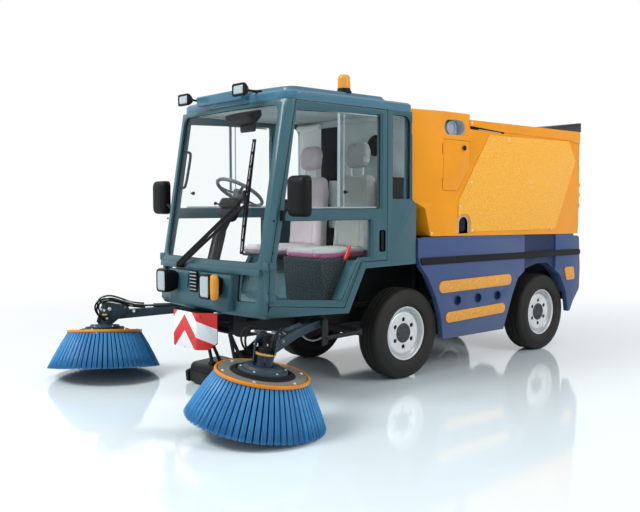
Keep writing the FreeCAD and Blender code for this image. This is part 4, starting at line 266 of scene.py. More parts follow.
# Extruded rubber: dull black with a fine grain
rubber = weathered("moulded_rubber", "#141516", "#3C3A36", 0.7, 2.0, 0.3, 0.5)
pressed("chassis_frame", "chassis", [chassis_enamel], 2.5)
pressed("tipping_frame", "chassis", [chassis_enamel], 2.0)
pressed("arm_mounts", "chassis", [chassis_enamel], 2.0)
pressed("axles", "chassis", [cast_iron_paint], 3.0)
for node in ("engine_block", "knuckle_left", "knuckle_right"):
    paint_over(node, cast_iron_paint)
paint_over("suction_duct", rubber)

# The wheels: smooth radial tyres with three water grooves, on rolled steel rims with a pressed disc,
# six round holes and a cast hub, lacquered silver. Tyres are pressed on, rims bolted to the hubs.


def fit(name, bm, body, materials, stands_for=(), smooth=35):
    """Turn mesh code into a piece that rides on a body and takes a finish."""
    mesh = bpy.data.meshes.new(name)
    bmesh.ops.recalc_face_normals(bm, faces=bm.faces)
    bm.to_mesh(mesh)
    bm.free()
    piece = place_in_scene(name, mesh)
    for material in materials:
        mesh.materials.append(material)
    mesh.shade_smooth()
    mesh.set_sharp_from_angle(angle=math.radians(smooth))
    if stands_for:
        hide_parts(*stands_for)
    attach(piece, body)
    return piece


def lathe(bm, profile, centre, axis, steps=96, material=0):
    """Sweep a closed profile of (along, radius) round an axis."""
    turn = Vector((0, 0, 1)).rotation_difference(Vector(axis).normalized()).to_matrix()
    centre = Vector(centre)
    rings = []
    for along, radius in profile:
        if radius < 1e-6:
            rings.append([bm.verts.new(centre + turn @ Vector((0, 0, along)))])
            continue
        ring = []
        for i in range(steps):
            angle = 2 * math.pi * i / steps
            spoke = Vector((radius * math.cos(angle), radius * math.sin(angle), along))
            ring.append(bm.verts.new(centre + turn @ spoke))
        rings.append(ring)
    for i in range(len(rings)):
        first, second = rings[i], rings[(i + 1) % len(rings)]
        for k in range(steps):
            a, b = first[k % len(first)], first[(k + 1) % len(first)]
            c, d = second[(k + 1) % len(second)], second[k % len(second)]
            corners = []
            for corner in (a, b, c, d):
                if corner not in corners:
                    corners.append(corner)
            if len(corners) > 2:
                bm.faces.new(corners).material_index = material


def eased(points, steps=5):
    """Round the corners of a closed outline; a point is (a, b) or (a, b, radius)."""
    result = []
    count = len(points)
    for i, point in enumerate(points):
        corner = Vector(point[:2])
        if len(point) < 3 or point[2] <= 0:
            result.append(tuple(corner))
            continue
        back = (Vector(points[i - 1][:2]) - corner)
        ahead = (Vector(points[(i + 1) % count][:2]) - corner)
        half = back.angle(ahead) / 2
        reach = min(point[2] / math.tan(half), back.length * 0.49, ahead.length * 0.49)
        start, end = corner + back.normalized() * reach, corner + ahead.normalized() * reach
        for k in range(steps + 1):
            t = k / steps
            result.append(tuple(start * (1 - t) ** 2 + corner * 2 * t * (1 - t) + end * t ** 2))
    return result


def as_shaped(piece):
    """Mesh of the piece with its modifiers carried out."""
    return bpy.data.meshes.new_from_object(piece.evaluated_get(bpy.context.evaluated_depsgraph_get()))


def cut_away(piece, bm, materials=()):
    """Take the closed forms in bm out of a piece; the cut faces keep the cutter's finish."""
    bmesh.ops.recalc_face_normals(bm, faces=bm.faces)
    cutter_mesh = bpy.data.meshes.new("cutter")
    bm.to_mesh(cutter_mesh)
    bm.free()
    for material in materials:
        cutter_mesh.materials.append(material)
    cutter = place_in_scene("cutter", cutter_mesh)
    cut = piece.modifiers.new("cut", "BOOLEAN")
    cut.object = cutter
    cut.solver = "EXACT"
    cut.material_mode = "TRANSFER"
    kept = [(edge.width, edge.angle_limit) for edge in piece.modifiers if edge.type == "BEVEL"]
    for edge in [edge for edge in piece.modifiers if edge.type == "BEVEL"]:
        piece.modifiers.remove(edge)
    bpy.context.view_layer.update()
    shaped = as_shaped(piece)
    piece.modifiers.clear()
    piece.data = shaped
    bpy.data.objects.remove(cutter)
    for width, limit in kept:
        roll_edges(piece, width, limit)
    if not kept:
        shaped.set_sharp_from_angle(angle=math.radians(40))


# Tyre rubber: carbon black, matt, paler where dust sits, with fine rings moulded in the wall
tyre_rubber, tree = start_material("vulcanised_tyre_rubber")
here = add(tree, "ShaderNodeTexCoord")
tone = noise(tree, here, 14.0, 6.0, 0.65)
shade = between(tree, "#0F0F0E", "#272622", tone.outputs["Fac"])
grain = noise(tree, here, 420.0, 2.0)
relief = relief_from(tree, 0.25, 0.0006, grain.outputs["Fac"])
gloss = add(tree, "ShaderNodeMapRange", {"To Min": 0.5, "To Max": 0.8}, [("Value", tone.outputs["Fac"])])
shader = add(tree, "ShaderNodeBsdfPrincipled", {"IOR": 1.52, "Specular IOR Level": 0.3},
             [("Base Color", shade.outputs["Result"]), ("Roughness", gloss.outputs[0]),
              ("Normal", relief.outputs[0])])
finish_with(tree, shader)

# Silver wheel lacquer over pressed steel: fine flake under a clear coat, brake dust in the bowl
wheel_silver, tree = start_material("silver_wheel_lacquer")
here = add(tree, "ShaderNodeTexCoord")
flake = noise(tree, here, 600.0, 1.0)
tone = noise(tree, here, 9.0, 5.0)
shade = between(tree, "#E6E8E9", "#BFC2C4", tone.outputs["Fac"])
relief = relief_from(tree, 0.08, 0.0004, flake.outputs["Fac"])
shader = add(tree, "ShaderNodeBsdfPrincipled",
             {"Metallic": 0.55, "Roughness": 0.32, "Coat Weight": 0.2, "Coat Roughness": 0.12},
             [("Base Color", shade.outputs["Result"]), ("Normal", relief.outputs[0])])
finish_with(tree, shader)


def mottled(name, first, second, cloud, settings, spread=None, relief=None):
    """Finish whose colour changes in clouds; spread narrows the change, relief is (strength, metres)."""
    material, tree = start_material(name)
    here = add(tree, "ShaderNodeTexCoord")
    tone = noise(tree, here, *cloud)
    share = tone.outputs["Fac"]
    if spread:
        share = add(tree, "ShaderNodeMapRange", {"From Min": spread[0], "From Max": spread[1]},
                    [("Value", share)]).outputs[0]
    shade = between(tree, first, second, share)
    links = [("Base Color", shade.outputs["Result"])]
    if relief:
        links.append(("Normal", relief_from(tree, *relief, tone.outputs["Fac"]).outputs["Normal"]))
    finish_with(tree, add(tree, "ShaderNodeBsdfPrincipled", settings, links))
    return material


# Zinc-plated steel: pale bluish metal, slightly mottled
zinc = mottled("zinc_plated_steel", "#E2E4E6", "#B6BABD", (60.0, 3.0), {"Metallic": 0.8, "Roughness": 0.32})

TYRE = 0.334
tyre_side = [(0.0755, 0.191), (0.0755, 0.1995), (0.090, 0.206), (0.0985, 0.222), (0.1022, 0.246),
             (0.1024, 0.262), (0.1005, 0.282), (0.0992, 0.284), (0.0990, 0.288), (0.0975, 0.291),
             (0.0930, 0.312), (0.0870, 0.323), (0.0740, 0.3305), (0.0640, 0.3335)]
tread = []
for groove in (0.041, 0.0, -0.041):
    tread += [(groove + 0.0045, TYRE - 0.0002), (groove + 0.0040, TYRE - 0.0012),
              (groove + 0.0030, TYRE - 0.0079), (groove - 0.0030, TYRE - 0.0079),
              (groove - 0.0040, TYRE - 0.0012), (groove - 0.0045, TYRE - 0.0002)]
tyre_profile = tyre_side + tread + [(-a, r) for a, r in reversed(tyre_side)]
rim_profile = eased([(-0.080, 0.1845), (-0.080, 0.1985, 0.003), (-0.0765, 0.1985, 0.003), (-0.0755, 0.1905),
                     (-0.045, 0.1895), (0.0755, 0.1905), (0.0765, 0.1985, 0.003), (0.080, 0.1985, 0.004),
                     (0.080, 0.1900, 0.004), (0.070, 0.1845, 0.004), (0.020, 0.1838), (-0.060, 0.1838)])
disc_profile = eased([(0.045, 0.020), (0.045, 0.118, 0.010), (0.034, 0.152, 0.012), (0.024, 0.1842),
                      (0.034, 0.1842), (0.038, 0.168, 0.010), (0.0535, 0.156, 0.010), (0.0565, 0.147, 0.008),
                      (0.0540, 0.116, 0.004), (0.0520, 0.080, 0.004), (0.052, 0.0), (0.045, 0.0)])
hub_profile = eased([(-0.06, 0.0), (-0.06, 0.070), (0.040, 0.070), (0.0510, 0.0735), (0.0580, 0.0715, 0.003),
                     (0.0600, 0.064, 0.003), (0.0585, 0.036, 0.003), (0.0595, 0.031, 0.002), (0.0595, 0.0)])
drum_profile = [(-0.060, 0.0), (-0.060, 0.158), (0.004, 0.158), (0.016, 0.150), (0.016, 0.0)]
HOLE_CIRCLE, HOLE_RADIUS, NUT_CIRCLE = 0.101, 0.0165, 0.050
for end in ("front", "rear"):
    for side, sign in (("left", 1), ("right", -1)):
        body = "wheel_" + end + "_" + side
        centre = Vector(hinge["wheel_" + end + "_" + side + "_spin"]["pos_m"])
        axis = (sign, 0, 0)
        bm = bmesh.new()
        lathe(bm, tyre_profile, centre, axis, 120)
        fit("tyre_rubber_" + end + "_" + side, bm, body, [tyre_rubber],
            ["tyre_" + end + "_" + side], 50)
        bm = bmesh.new()
        lathe(bm, rim_profile, centre, axis, 96)
        lathe(bm, disc_profile, centre, axis, 96)
        wheel = fit("rim_pressing_" + end + "_" + side, bm, body, [wheel_silver],
                    ["rim_" + end + "_" + side], 40)
        # Six round holes are punched in the disc before it is welded into the rim
        bm = bmesh.new()
        for i in range(6):
            angle = math.radians(30 + 60 * i)
            at = centre + Vector((0.05 * sign, HOLE_CIRCLE * math.cos(angle), HOLE_CIRCLE * math.sin(angle)))
            lathe(bm, [(-0.03, 0), (-0.03, HOLE_RADIUS), (0.03, HOLE_RADIUS), (0.03, 0)], at, axis, 24)
        cut_away(wheel, bm, [wheel_silver])
        # Dark hub with its cap, and the six wheel nuts round it
        bm = bmesh.new()
        lathe(bm, hub_profile, centre, axis, 48)
        for i in range(6):
            angle = math.radians(60 * i)
            at = centre + Vector((0.0585 * sign, NUT_CIRCLE * math.cos(angle), NUT_CIRCLE * math.sin(angle)))
            nut = [(-0.002, 0), (-0.002, 0.0115), (0.004, 0.0115), (0.0055, 0.0095), (0.0055, 0)]
            lathe(bm, nut, at, axis, 6)
        fit("hub_casting_" + end + "_" + side, bm, body, [cast_iron_paint])
        bm = bmesh.new()
        lathe(bm, drum_profile, centre, axis, 48)
        fit("brake_drum_" + end + "_" + side, bm, body, [chassis_enamel])

# The cab: pressed steel panels welded and sprayed blue-green, the roof a slightly paler moulding.
# Windscreen and side windows are laminated glass bonded into the frames with black sealant.

# Two-pack enamel: even colour, faint orange peel, clear gloss on top
cab_enamel = weathered("sprayed_cab_enamel", "#335963", "#62665F", 0.36, 5.0, 0.06, 0.6, 0.2)
roof_gelcoat = weathered("moulded_roof_gelcoat", "#3D6C82", "#8A8E88", 0.30, 5.0, 0.05, 0.5, 0.3)
# Grained ABS: near black, satin, fine leather grain. The same black serves as painted shade in the hopper's
# strut slot and bay and behind the nose grille
black_abs_and_shade = weathered("grained_black_abs_and_painted_shade", "#0E1011", "#2E2D29", 0.45, 2.5, 0.2, 0.6, 0.0, 0.15)
# Satin anodised aluminium: grey metal with a fine drawn grain
anodised, tree = start_material("satin_anodised_aluminium")
here = add(tree, "ShaderNodeTexCoord")
grain = noise(tree, here, 350.0, 2.0)
gloss = add(tree, "ShaderNodeMapRange", {"To Min": 0.3, "To Max": 0.5}, [("Value", grain.outputs["Fac"])])
shade = between(tree, "#8FA3AA", "#A9B7BC", grain.outputs["Fac"])
shader = add(tree, "ShaderNodeBsdfPrincipled", {"Metallic": 0.7},
             [("Base Color", shade.outputs["Result"]), ("Roughness", gloss.outputs[0])])
finish_with(tree, shader)

SEALANT = 0.0035
# Laminated glass: clear, and in the even light it hardly mirrors, so its IOR is matched low.
# Light passes through it for the shadows
glass, tree = start_material("laminated_glass")
path = add(tree, "ShaderNodeLightPath")
pane = add(tree, "ShaderNodeBsdfPrincipled",
           {"Base Color": colour("#FAFDFD"), "Roughness": 0.0, "IOR": 1.12,
            "Transmission Weight": 1.0})
clear = add(tree, "ShaderNodeBsdfTransparent", {"Color": colour("#F7FBFB")})
mix = add(tree, "ShaderNodeMixShader", {},
          [(0, path.outputs["Is Shadow Ray"]), (1, pane.outputs[0]), (2, clear.outputs[0])])
finish_with(tree, mix)


def stacked(bm, outline, origin, across, up, along, layers, material=0, ends=None):
    """Loft one outline along a line; a layer is (distance, inset). ends gives the end faces' finishes."""
    origin, across, up, along = Vector(origin), Vector(across), Vector(up), Vector(along)
    xs, ys = [p[0] for p in outline], [p[1] for p in outline]
    mid_x, mid_y = (max(xs) + min(xs)) / 2, (max(ys) + min(ys)) / 2
    half_x, half_y = (max(xs) - min(xs)) / 2, (max(ys) - min(ys)) / 2
    rings = []
    for distance, inset in layers:
        wide, high = (half_x - inset) / half_x, (half_y - inset) / half_y
        rings.append([bm.verts.new(origin + across * (mid_x + (x - mid_x) * wide) + up
                                   * (mid_y + (y - mid_y) * high) + along * distance) for x, y in outline])
    for first, second in zip(rings, rings[1:]):
        for k in range(len(outline)):
            bm.faces.new((first[k - 1], first[k], second[k], second[k - 1])).material_index = material
    near, away = ends or (material, material)
    bm.faces.new(rings[0]).material_index = near
    bm.faces.new(rings[-1]).material_index = away


right_way, rear_way, up_way = Vector((1, 0, 0)), Vector((0, 1, 0)), Vector((0, 0, 1))
front_way = -rear_way


def soft(depth, edge):
    """Layers of a slab with rounded rims."""
    return [(0, edge), (edge * 0.3, edge * 0.3), (edge, 0), (depth - edge, 0),
            (depth - edge * 0.3, edge * 0.3), (depth, edge)]


def oblong(half_w, half_h, corner):
    """Rectangle with round corners."""
    return eased([(-half_w, -half_h, corner), (half_w, -half_h, corner), (half_w, half_h, corner),
                  (-half_w, half_h, corner)], 6)


def strip(bm, points, widths, thick, facing, material=0):
    """Flat bar along some points; facing is the direction its broad side looks to."""
    points = [Vector(point) for point in points]
    rings = []
    for i, point in enumerate(points):
        tangent = (points[min(i + 1, len(points) - 1)] - points[max(i - 1, 0)]).normalized()
        side = tangent.cross(Vector(facing)).normalized()
        up = side.cross(tangent)
        half = (widths[i] if isinstance(widths, (list, tuple)) else widths) / 2
        low = thick / 2
        edge = min(thick * 0.3, half * 0.5)
        section = [(edge - half, -low), (half - edge, -low), (half, edge - low), (half, low - edge),
                   (half - edge, low), (edge - half, low), (-half, low - edge), (-half, edge - low)]
        rings.append([bm.verts.new(point + side * a + up * b) for a, b in section])
    for first, second in zip(rings, rings[1:]):
        for k in range(8):
            bm.faces.new((first[k - 1], first[k], second[k], second[k - 1])).material_index = material
    bm.faces.new(rings[0]).material_index = material
    bm.faces.new(rings[-1]).material_index = material


def bolt(bm, at, along, radius, material=0):
    """Domed bolt head on its washer."""
    lathe(bm, [(0, 0), (0, radius * 1.5), (radius * 0.2, radius * 1.45), (radius * 0.25, radius),
               (radius * 0.6, radius * 0.85), (radius * 0.8, radius * 0.5), (radius * 0.85, 0)], at, along,
          16, material)


def line_piece(name, lines, radius, body, material, closed=False, flowing=False):
    """Round bead, rod or bent tube along lines of points."""
    line = bpy.data.curves.new(name, "CURVE")
    line.dimensions = "3D"
    line.bevel_depth = radius
    line.bevel_resolution = 3
    line.use_fill_caps = not closed
    for points in lines:
        spline = line.splines.new("NURBS" if flowing else "POLY")
        spline.points.add(len(points) - 1)
        for point, place in zip(spline.points, points):
            point.co = (*place, 1.0)
        spline.use_cyclic_u = closed
        if flowing:
            spline.order_u = 3
            spline.use_endpoint_u = True
            spline.resolution_u = 8
    line.materials.append(material)
    piece = place_in_scene(name, line)
    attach(piece, body)
    return piece


def pane_edges(node, facing):
    """Outlines of the panes in a glass solid, on the side that faces that way."""
    bm = bmesh.new()
    bm.from_mesh(frame["nodes"][node].data)
    bmesh.ops.remove_doubles(bm, verts=bm.verts, dist=2e-5)
    bm.normal_update()
    away = [face for face in bm.faces if face.normal.dot(Vector(facing)) < 0.5]
    bmesh.ops.delete(bm, geom=away, context="FACES")
    ring_next = {}
    for edge in bm.edges:
        if len(edge.link_faces) == 1:
            for a, b in (edge.verts, reversed(edge.verts)):
                ring_next.setdefault(a, []).append(b)
    loops = []
    left = set(ring_next)
    for start in list(ring_next):
        if start not in left:
            continue
        loop, at, before = [start], ring_next[start][0], start
        left.discard(start)
        while at is not start:
            loop.append(at)
            left.discard(at)
            ahead = [v for v in ring_next[at] if v is not before]
            before, at = at, ahead[0]
        loops.append([v.co.copy() for v in loop])
    bm.free()
    return loops


pressed("cab_front", "chassis", [cab_enamel], 3.0)
# Needle felt on hardboard: mid grey, matt, mottled by its fibres
felt, tree = start_material("grey_needle_felt")
here = add(tree, "ShaderNodeTexCoord")
fibres = noise(tree, here, 120.0, 6.0, 0.7)
tone = noise(tree, here, 5.0, 3.0)
both = maths(tree, "ADD", fibres.outputs["Fac"], tone.outputs["Fac"])
spread = add(tree, "ShaderNodeMapRange", {"From Min": 0.7, "From Max": 1.3}, [("Value", both.outputs[0])])
shade = between(tree, "#AEBCBD", "#D2DCDC", spread.outputs[0])
relief = relief_from(tree, 0.4, 0.001, fibres.outputs["Fac"])
shader = add(tree, "ShaderNodeBsdfPrincipled", {"Roughness": 0.95, "Specular IOR Level": 0.2},
             [("Base Color", shade.outputs["Result"]), ("Normal", relief.outputs[0])])
finish_with(tree, shader)


def felt_or_skin(middle, normal):
    """The wall's inner side has felt, the air box beside it is black, the rest is enamel."""
    if normal.y < -0.9 and abs(middle.y + 0.1721) < 0.004 and abs(middle.x) < 0.6:
        return 1
    return 2 if 0.485 < middle.x < 0.6005 and middle.y < -0.18 and 1.30 < middle.z < 1.55 else 0


def lining_or_skin(middle, normal):
    """The roof's underside over the seats is the pale lining."""
    return 1 if normal.z < -0.9 and middle.z < 1.95 else 0


pressed("cab_rear", "chassis", [cab_enamel, felt, black_abs_and_shade], 3.0, felt_or_skin)
pressed("cab_floor", "chassis", [cab_enamel], 3.0)
pressed("cab_roof", "chassis", [roof_gelcoat, felt], 6.0, lining_or_skin)
paint_over("cab_glass", glass)
line_piece("windscreen_sealant", pane_edges("cab_glass", (0, -1, 0)), SEALANT, "chassis", rubber,
           True)
quarter = [loop for sign in (1, -1) for loop in pane_edges("cab_glass", (sign, 0, 0))]
line_piece("quarter_light_sealant", quarter, SEALANT, "chassis", rubber, True)

# The doors: welded steel frames with a recessed pull handle in a black moulded cup. The upper window
# has a sliding pane in a drawn aluminium channel, with a black thumb latch at each end.
RECESS_LOW, RECESS_HIGH = (-0.464, 0.951), (-0.400, 1.105)


def cup_or_skin(middle, normal):
    """The walls of the handle recess are the black cup, the rest is the door's skin."""
    inside = RECESS_LOW[0] - 0.002 < middle.y < RECESS_HIGH[0] + 0.002
    inside = inside and RECESS_LOW[1] - 0.002 < middle.z < RECESS_HIGH[1] + 0.002
    return 1 if inside and 0.615 < abs(middle.x) < 0.6395 else 0


for side, sign in (("left", 1), ("right", -1)):
    door = "door_" + side
    pressed(door, door, [cab_enamel, black_abs_and_shade], 3.0, cup_or_skin)
    paint_over(door + "_glass", glass)
    line_piece("door_sealant_" + side, pane_edges(door + "_glass", (sign, 0, 0)), SEALANT, door, rubber,
               True)
    window_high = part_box(door + "_glass")[1]
    bm = bmesh.new()
    outwards = (sign, 0, 0)
    channel_x, middle_y = sign * 0.627, -0.838
    sill_z, head_z = 1.262, window_high.z - 0.012
    for y, wide in ((middle_y, 0.024), (middle_y + 0.046, 0.008)):
        strip(bm, [(channel_x, y, sill_z), (channel_x, y, head_z)], wide, 0.006, outwards)
    for z in (sill_z, head_z):
        strip(bm, [(channel_x, middle_y - 0.40, z), (channel_x, window_high.y - 0.03, z)], 0.010, 0.006,
              outwards)
    fit("sliding_window_channel_" + side, bm, door, [anodised])
    bm = bmesh.new()
    latch_z, thumb_x = 1.366, sign * 0.637
    for y in (-0.782, -1.180):
        lathe(bm, eased([(0, 0), (0, 0.014, 0.002), (0.006, 0.014, 0.002), (0.008, 0.008),
                         (0.016, 0.008, 0.002), (0.016, 0)], 3), (sign * 0.6245, y, latch_z), outwards, 24)
        strip(bm, [(thumb_x, y - 0.018, latch_z), (thumb_x, y + 0.018, latch_z)], 0.012, 0.006, outwards)
    # Pull handle, bowed out of the cup
    strip(bm, [(sign * 0.622, -0.436, 0.968), (sign * 0.636, -0.434, 0.982), (sign * 0.6385, -0.432, 1.005),
               (sign * 0.6385, -0.432, 1.055), (sign * 0.636, -0.434, 1.078), (sign * 0.622, -0.436, 1.090)],
          [0.020, 0.024, 0.026, 0.026, 0.024, 0.020], 0.007, outwards)
    fit("door_latches_" + side, bm, door, [black_abs_and_shade])
    bm = bmesh.new()
    lowest, pillar_lean = 0.700, 0.04
    for z in (lowest, 0.900, 0.980, 1.180):
        bolt(bm, (sign * 0.6402, -1.415 + (z - lowest) * pillar_lean, z), outwards, 0.005)
    fit("hinge_bolts_" + side, bm, door, [chassis_enamel])

# Inside the cab: a black ABS steering tower and instrument pod, a header with a rear-view mirror and
# bent steel grab handles on the pillars, all screwed to the shell.
pressed("steering_column", "chassis", [black_abs_and_shade], 2.0)
turn_axis = Vector(hinge["steering_wheel_turn"]["axis"])
turn_centre = Vector(hinge["steering_wheel_turn"]["pos_m"])
turn_up = turn_axis.cross(Vector((1, 0, 0)))
bm = bmesh.new()
stacked(bm, oblong(0.068, 0.050, 0.03), turn_centre - turn_axis * 0.235, (1, 0, 0), turn_up, turn_axis,
        [(0, 0.020), (0.010, 0.008), (0.030, 0.0), (0.110, 0.002), (0.135, 0.012), (0.140, 0.020)])
pod_foot = turn_centre + Vector((0.03, -0.13, -0.115))
stacked(bm, oblong(0.095, 0.038, 0.03), pod_foot, (1, 0, 0), turn_up, turn_axis,
        [(0, 0.014), (0.006, 0.004), (0.016, 0), (0.060, 0), (0.068, 0.004), (0.070, 0.010), (0.066, 0.014)])
for rise in range(5):
    lathe(bm, eased([(0, 0.045), (0.004, 0.058, 0.003), (0.010, 0.058, 0.003), (0.014, 0.045)], 3),
          (turn_centre.x, turn_centre.y - 0.31, 0.695 + rise * 0.014), (0, 0, 1), 32)
fit("instrument_pod", bm, "chassis", [black_abs_and_shade])
# Header with the mirror under it, behind the top of the windscreen
bm = bmesh.new()
stacked(bm, oblong(0.15, 0.055, 0.02), (0.09, -1.225, 1.885), (1, 0, 0), (0, 0.96, 0.28), (0, 0.28, -0.96),
        [(-0.02, 0), (0.02, 0.004), (0.05, 0.03), (0.054, 0.034)])
stacked(bm, oblong(0.085, 0.030, 0.015), (0.10, -1.205, 1.805), right_way, up_way, rear_way,
        [(0, 0.008), (0.006, 0.001), (0.014, 0), (0.016, 0.003)])
fit("header_and_mirror", bm, "chassis", [black_abs_and_shade])
grab_lines = [[(sign * 0.602, -1.325, 1.40), (sign * 0.565, -1.300, 1.40), (sign * 0.560, -1.285, 1.425),
               (sign * 0.560, -1.262, 1.53), (sign * 0.560, -1.240, 1.645), (sign * 0.565, -1.243, 1.67),
               (sign * 0.602, -1.268, 1.67)] for sign in (1, -1)]
line_piece("grab_handles", grab_lines, 0.010, "chassis", black_abs_and_shade, False, True)

# The steering wheel: a thin hard-foam ring on a steel core, three flat spokes and a capped hub,
# pressed on the shaft.
# Self-skinned polyurethane: grey-black, smooth and slightly shiny
wheel_foam = weathered("self_skinned_foam", "#4A5456", "#5B5A57", 0.3, 2.0, 0.08, 0.1, 0.2, 0.5)
bm = bmesh.new()
ring_radius, rim_radius = 0.180, 0.0135
rim_section = [(rim_radius * math.sin(angle), ring_radius + rim_radius * math.cos(angle))
               for angle in (2 * math.pi * i / 20 for i in range(20))]
lathe(bm, rim_section, turn_centre, turn_axis, 96)
lathe(bm, eased([(-0.060, 0.0), (-0.060, 0.030, 0.006), (-0.030, 0.040, 0.010), (-0.004, 0.050, 0.008),
                 (0.006, 0.048, 0.006), (0.010, 0.036, 0.004), (0.013, 0.030, 0.004), (0.014, 0.0)], 4),
      turn_centre, turn_axis, 48)
for angle in (90, 210, 330):
    spoke = Vector((1, 0, 0)) * math.cos(math.radians(angle)) + turn_up * math.sin(math.radians(angle))
    strip(bm, [turn_centre - turn_axis * 0.014 + spoke * 0.03, turn_centre - turn_axis * 0.014 + spoke * 0.09,
               turn_centre - turn_axis * 0.008 + spoke * 0.135, turn_centre + spoke * 0.176],
          [0.036, 0.028, 0.022, 0.020], 0.010, turn_axis)
fit("steering_ring", bm, "steering_wheel", [wheel_foam], ["steering_wheel"], 50)

# Two seats on closed steel consoles: foam pads under woven cloth, with sewn side channels and a
# headrest on two chromed posts. The pads are inflated by a cloth simulation, then sewn.


def woven(name, warp_colour, weft_colour, side_colour, side_below):
    """Seat cloth: threads 1.2 mm apart, drawn 4 mm apart to show, with a plain side panel below a height."""
    material, tree = start_material(name)
    here = add(tree, "ShaderNodeTexCoord")
    warp = add(tree, "ShaderNodeTexWave", {"Scale": 78.0, "bands_direction": "X"},
               [("Vector", here.outputs["Object"])])
    weft = add(tree, "ShaderNodeTexWave", {"Scale": 78.0, "bands_direction": "DIAGONAL"},
               [("Vector", here.outputs["Object"])])
    weave = maths(tree, "MULTIPLY", warp.outputs["Fac"], weft.outputs["Fac"])
    tone = noise(tree, here, 8.0, 4.0)
    both = maths(tree, "ADD", weave.outputs[0], tone.outputs["Fac"])
    half = maths(tree, "MULTIPLY", both.outputs[0], 0.6)
    shade = between(tree, warp_colour, weft_colour, half.outputs[0])
    parts = add(tree, "ShaderNodeSeparateXYZ", {}, [(0, here.outputs["Object"])])
    low = maths(tree, "LESS_THAN", parts.outputs["Z"], side_below)
    panel = add(tree, "ShaderNodeMix", {"data_type": "RGBA", "B": colour(side_colour)},
                [("Factor", low.outputs[0]), ("A", shade.outputs["Result"])])
    relief = relief_from(tree, 0.5, 0.0015, weave.outputs[0])
    shader = add(tree, "ShaderNodeBsdfPrincipled",
                 {"Roughness": 0.9, "Sheen Weight": 0.4, "Sheen Roughness": 0.4},
                 [("Base Color", panel.outputs["Result"]), ("Normal", relief.outputs[0])])
    finish_with(tree, shader)
    return material


def swell(bm, voxel, cap):
    """Cover a foam block with cloth and inflate it until it crowns; no point moves further than cap."""
    mesh = bpy.data.meshes.new("foam")
    bmesh.ops.recalc_face_normals(bm, faces=bm.faces)
    bm.to_mesh(mesh)
    bm.free()
    cover = place_in_scene("cover", mesh)
    scene = bpy.context.scene
    remesh = cover.modifiers.new("remesh", "REMESH")
    remesh.mode = "VOXEL"
    remesh.voxel_size = voxel
    bpy.context.view_layer.update()
    cloth_mesh = as_shaped(cover)
    cover.modifiers.clear()
    cover.data = cloth_mesh
    before = [vertex.co.copy() for vertex in cloth_mesh.vertices]
    cloth = cover.modifiers.new("cloth", "CLOTH")
    cloth.settings.use_pressure = True
    cloth.settings.uniform_pressure_force = 4.0
    cloth.settings.effector_weights.gravity = 0.0
    for step in range(1, 21):
        scene.frame_set(step)
    shaped = as_shaped(cover)
    cover.modifiers.clear()
    cover.data = shaped
    scene.frame_set(1)
    for vertex, start in zip(shaped.vertices, before):
        moved = vertex.co - start
        if moved.length > cap:
            vertex.co = start + moved.normalized() * cap
    rounded = cover.modifiers.new("round", "SUBSURF")
    rounded.levels = 1
    rounded.render_levels = 1
    bpy.context.view_layer.update()
    final = as_shaped(cover)
    bpy.data.objects.remove(cover)
    return final


def sewn(mesh, seams, depth, half):
    """Pull the cover in along seams; a seam is (axis, place) on the pad's own middle."""
    for vertex in mesh.vertices:
        for axis, place in seams:
            near = abs(vertex.co[axis] - place) / half
            if near < 1:
                pull = depth * (1 - near ** 2) ** 2
                vertex.co -= vertex.normal * pull


cushion_outline = eased([(-0.205, -0.235, 0.06), (0.205, -0.235, 0.06), (0.200, 0.235, 0.04),
                         (-0.200, 0.235, 0.04)], 6)
bm = bmesh.new()
stacked(bm, cushion_outline, (0, -0.640, 0.914), (1, 0, 0), (0, 1, 0.0), (0, 0, 1), soft(0.050, 0.016))
cushion_mesh = swell(bm, 0.007, 0.012)
sewn(cushion_mesh, ((0, -0.125), (0, 0.125)), 0.006, 0.009)
rest_outline = eased([(-0.200, 0.0, 0.03), (0.200, 0.0, 0.03), (0.200, 0.44, 0.05), (0.165, 0.575, 0.07),
                      (-0.165, 0.575, 0.07), (-0.200, 0.44, 0.05)], 6)
bm = bmesh.new()
stacked(bm, rest_outline, (0, -0.405, 0.935), (1, 0, 0), (0, 0.088, 0.996), (0, 1, -0.03), soft(0.085, 0.022))
rest_mesh = swell(bm, 0.007, 0.012)
sewn(rest_mesh, ((0, -0.115), (0, 0.115)), 0.006, 0.009)
head_outline = eased([(-0.100, 0.0, 0.06), (0.100, 0.0, 0.06), (0.115, 0.12, 0.06), (0.085, 0.185, 0.07),
                      (-0.085, 0.185, 0.07), (-0.115, 0.12, 0.06)], 6)
bm = bmesh.new()
stacked(bm, head_outline, (0, -0.352, 1.553), (1, 0, 0), (0, 0.04, 0.999), (0, 1, 0), soft(0.072, 0.022))
head_mesh = swell(bm, 0.006, 0.008)

driver_cloth = woven("woven_seat_cloth_rose", "#B7A9AF", "#E2D6DB", "#A08A96", 0.945)
passenger_cloth = woven("woven_seat_cloth_grey", "#7C807E", "#B0B5B2", "#9A4474", 0.945)
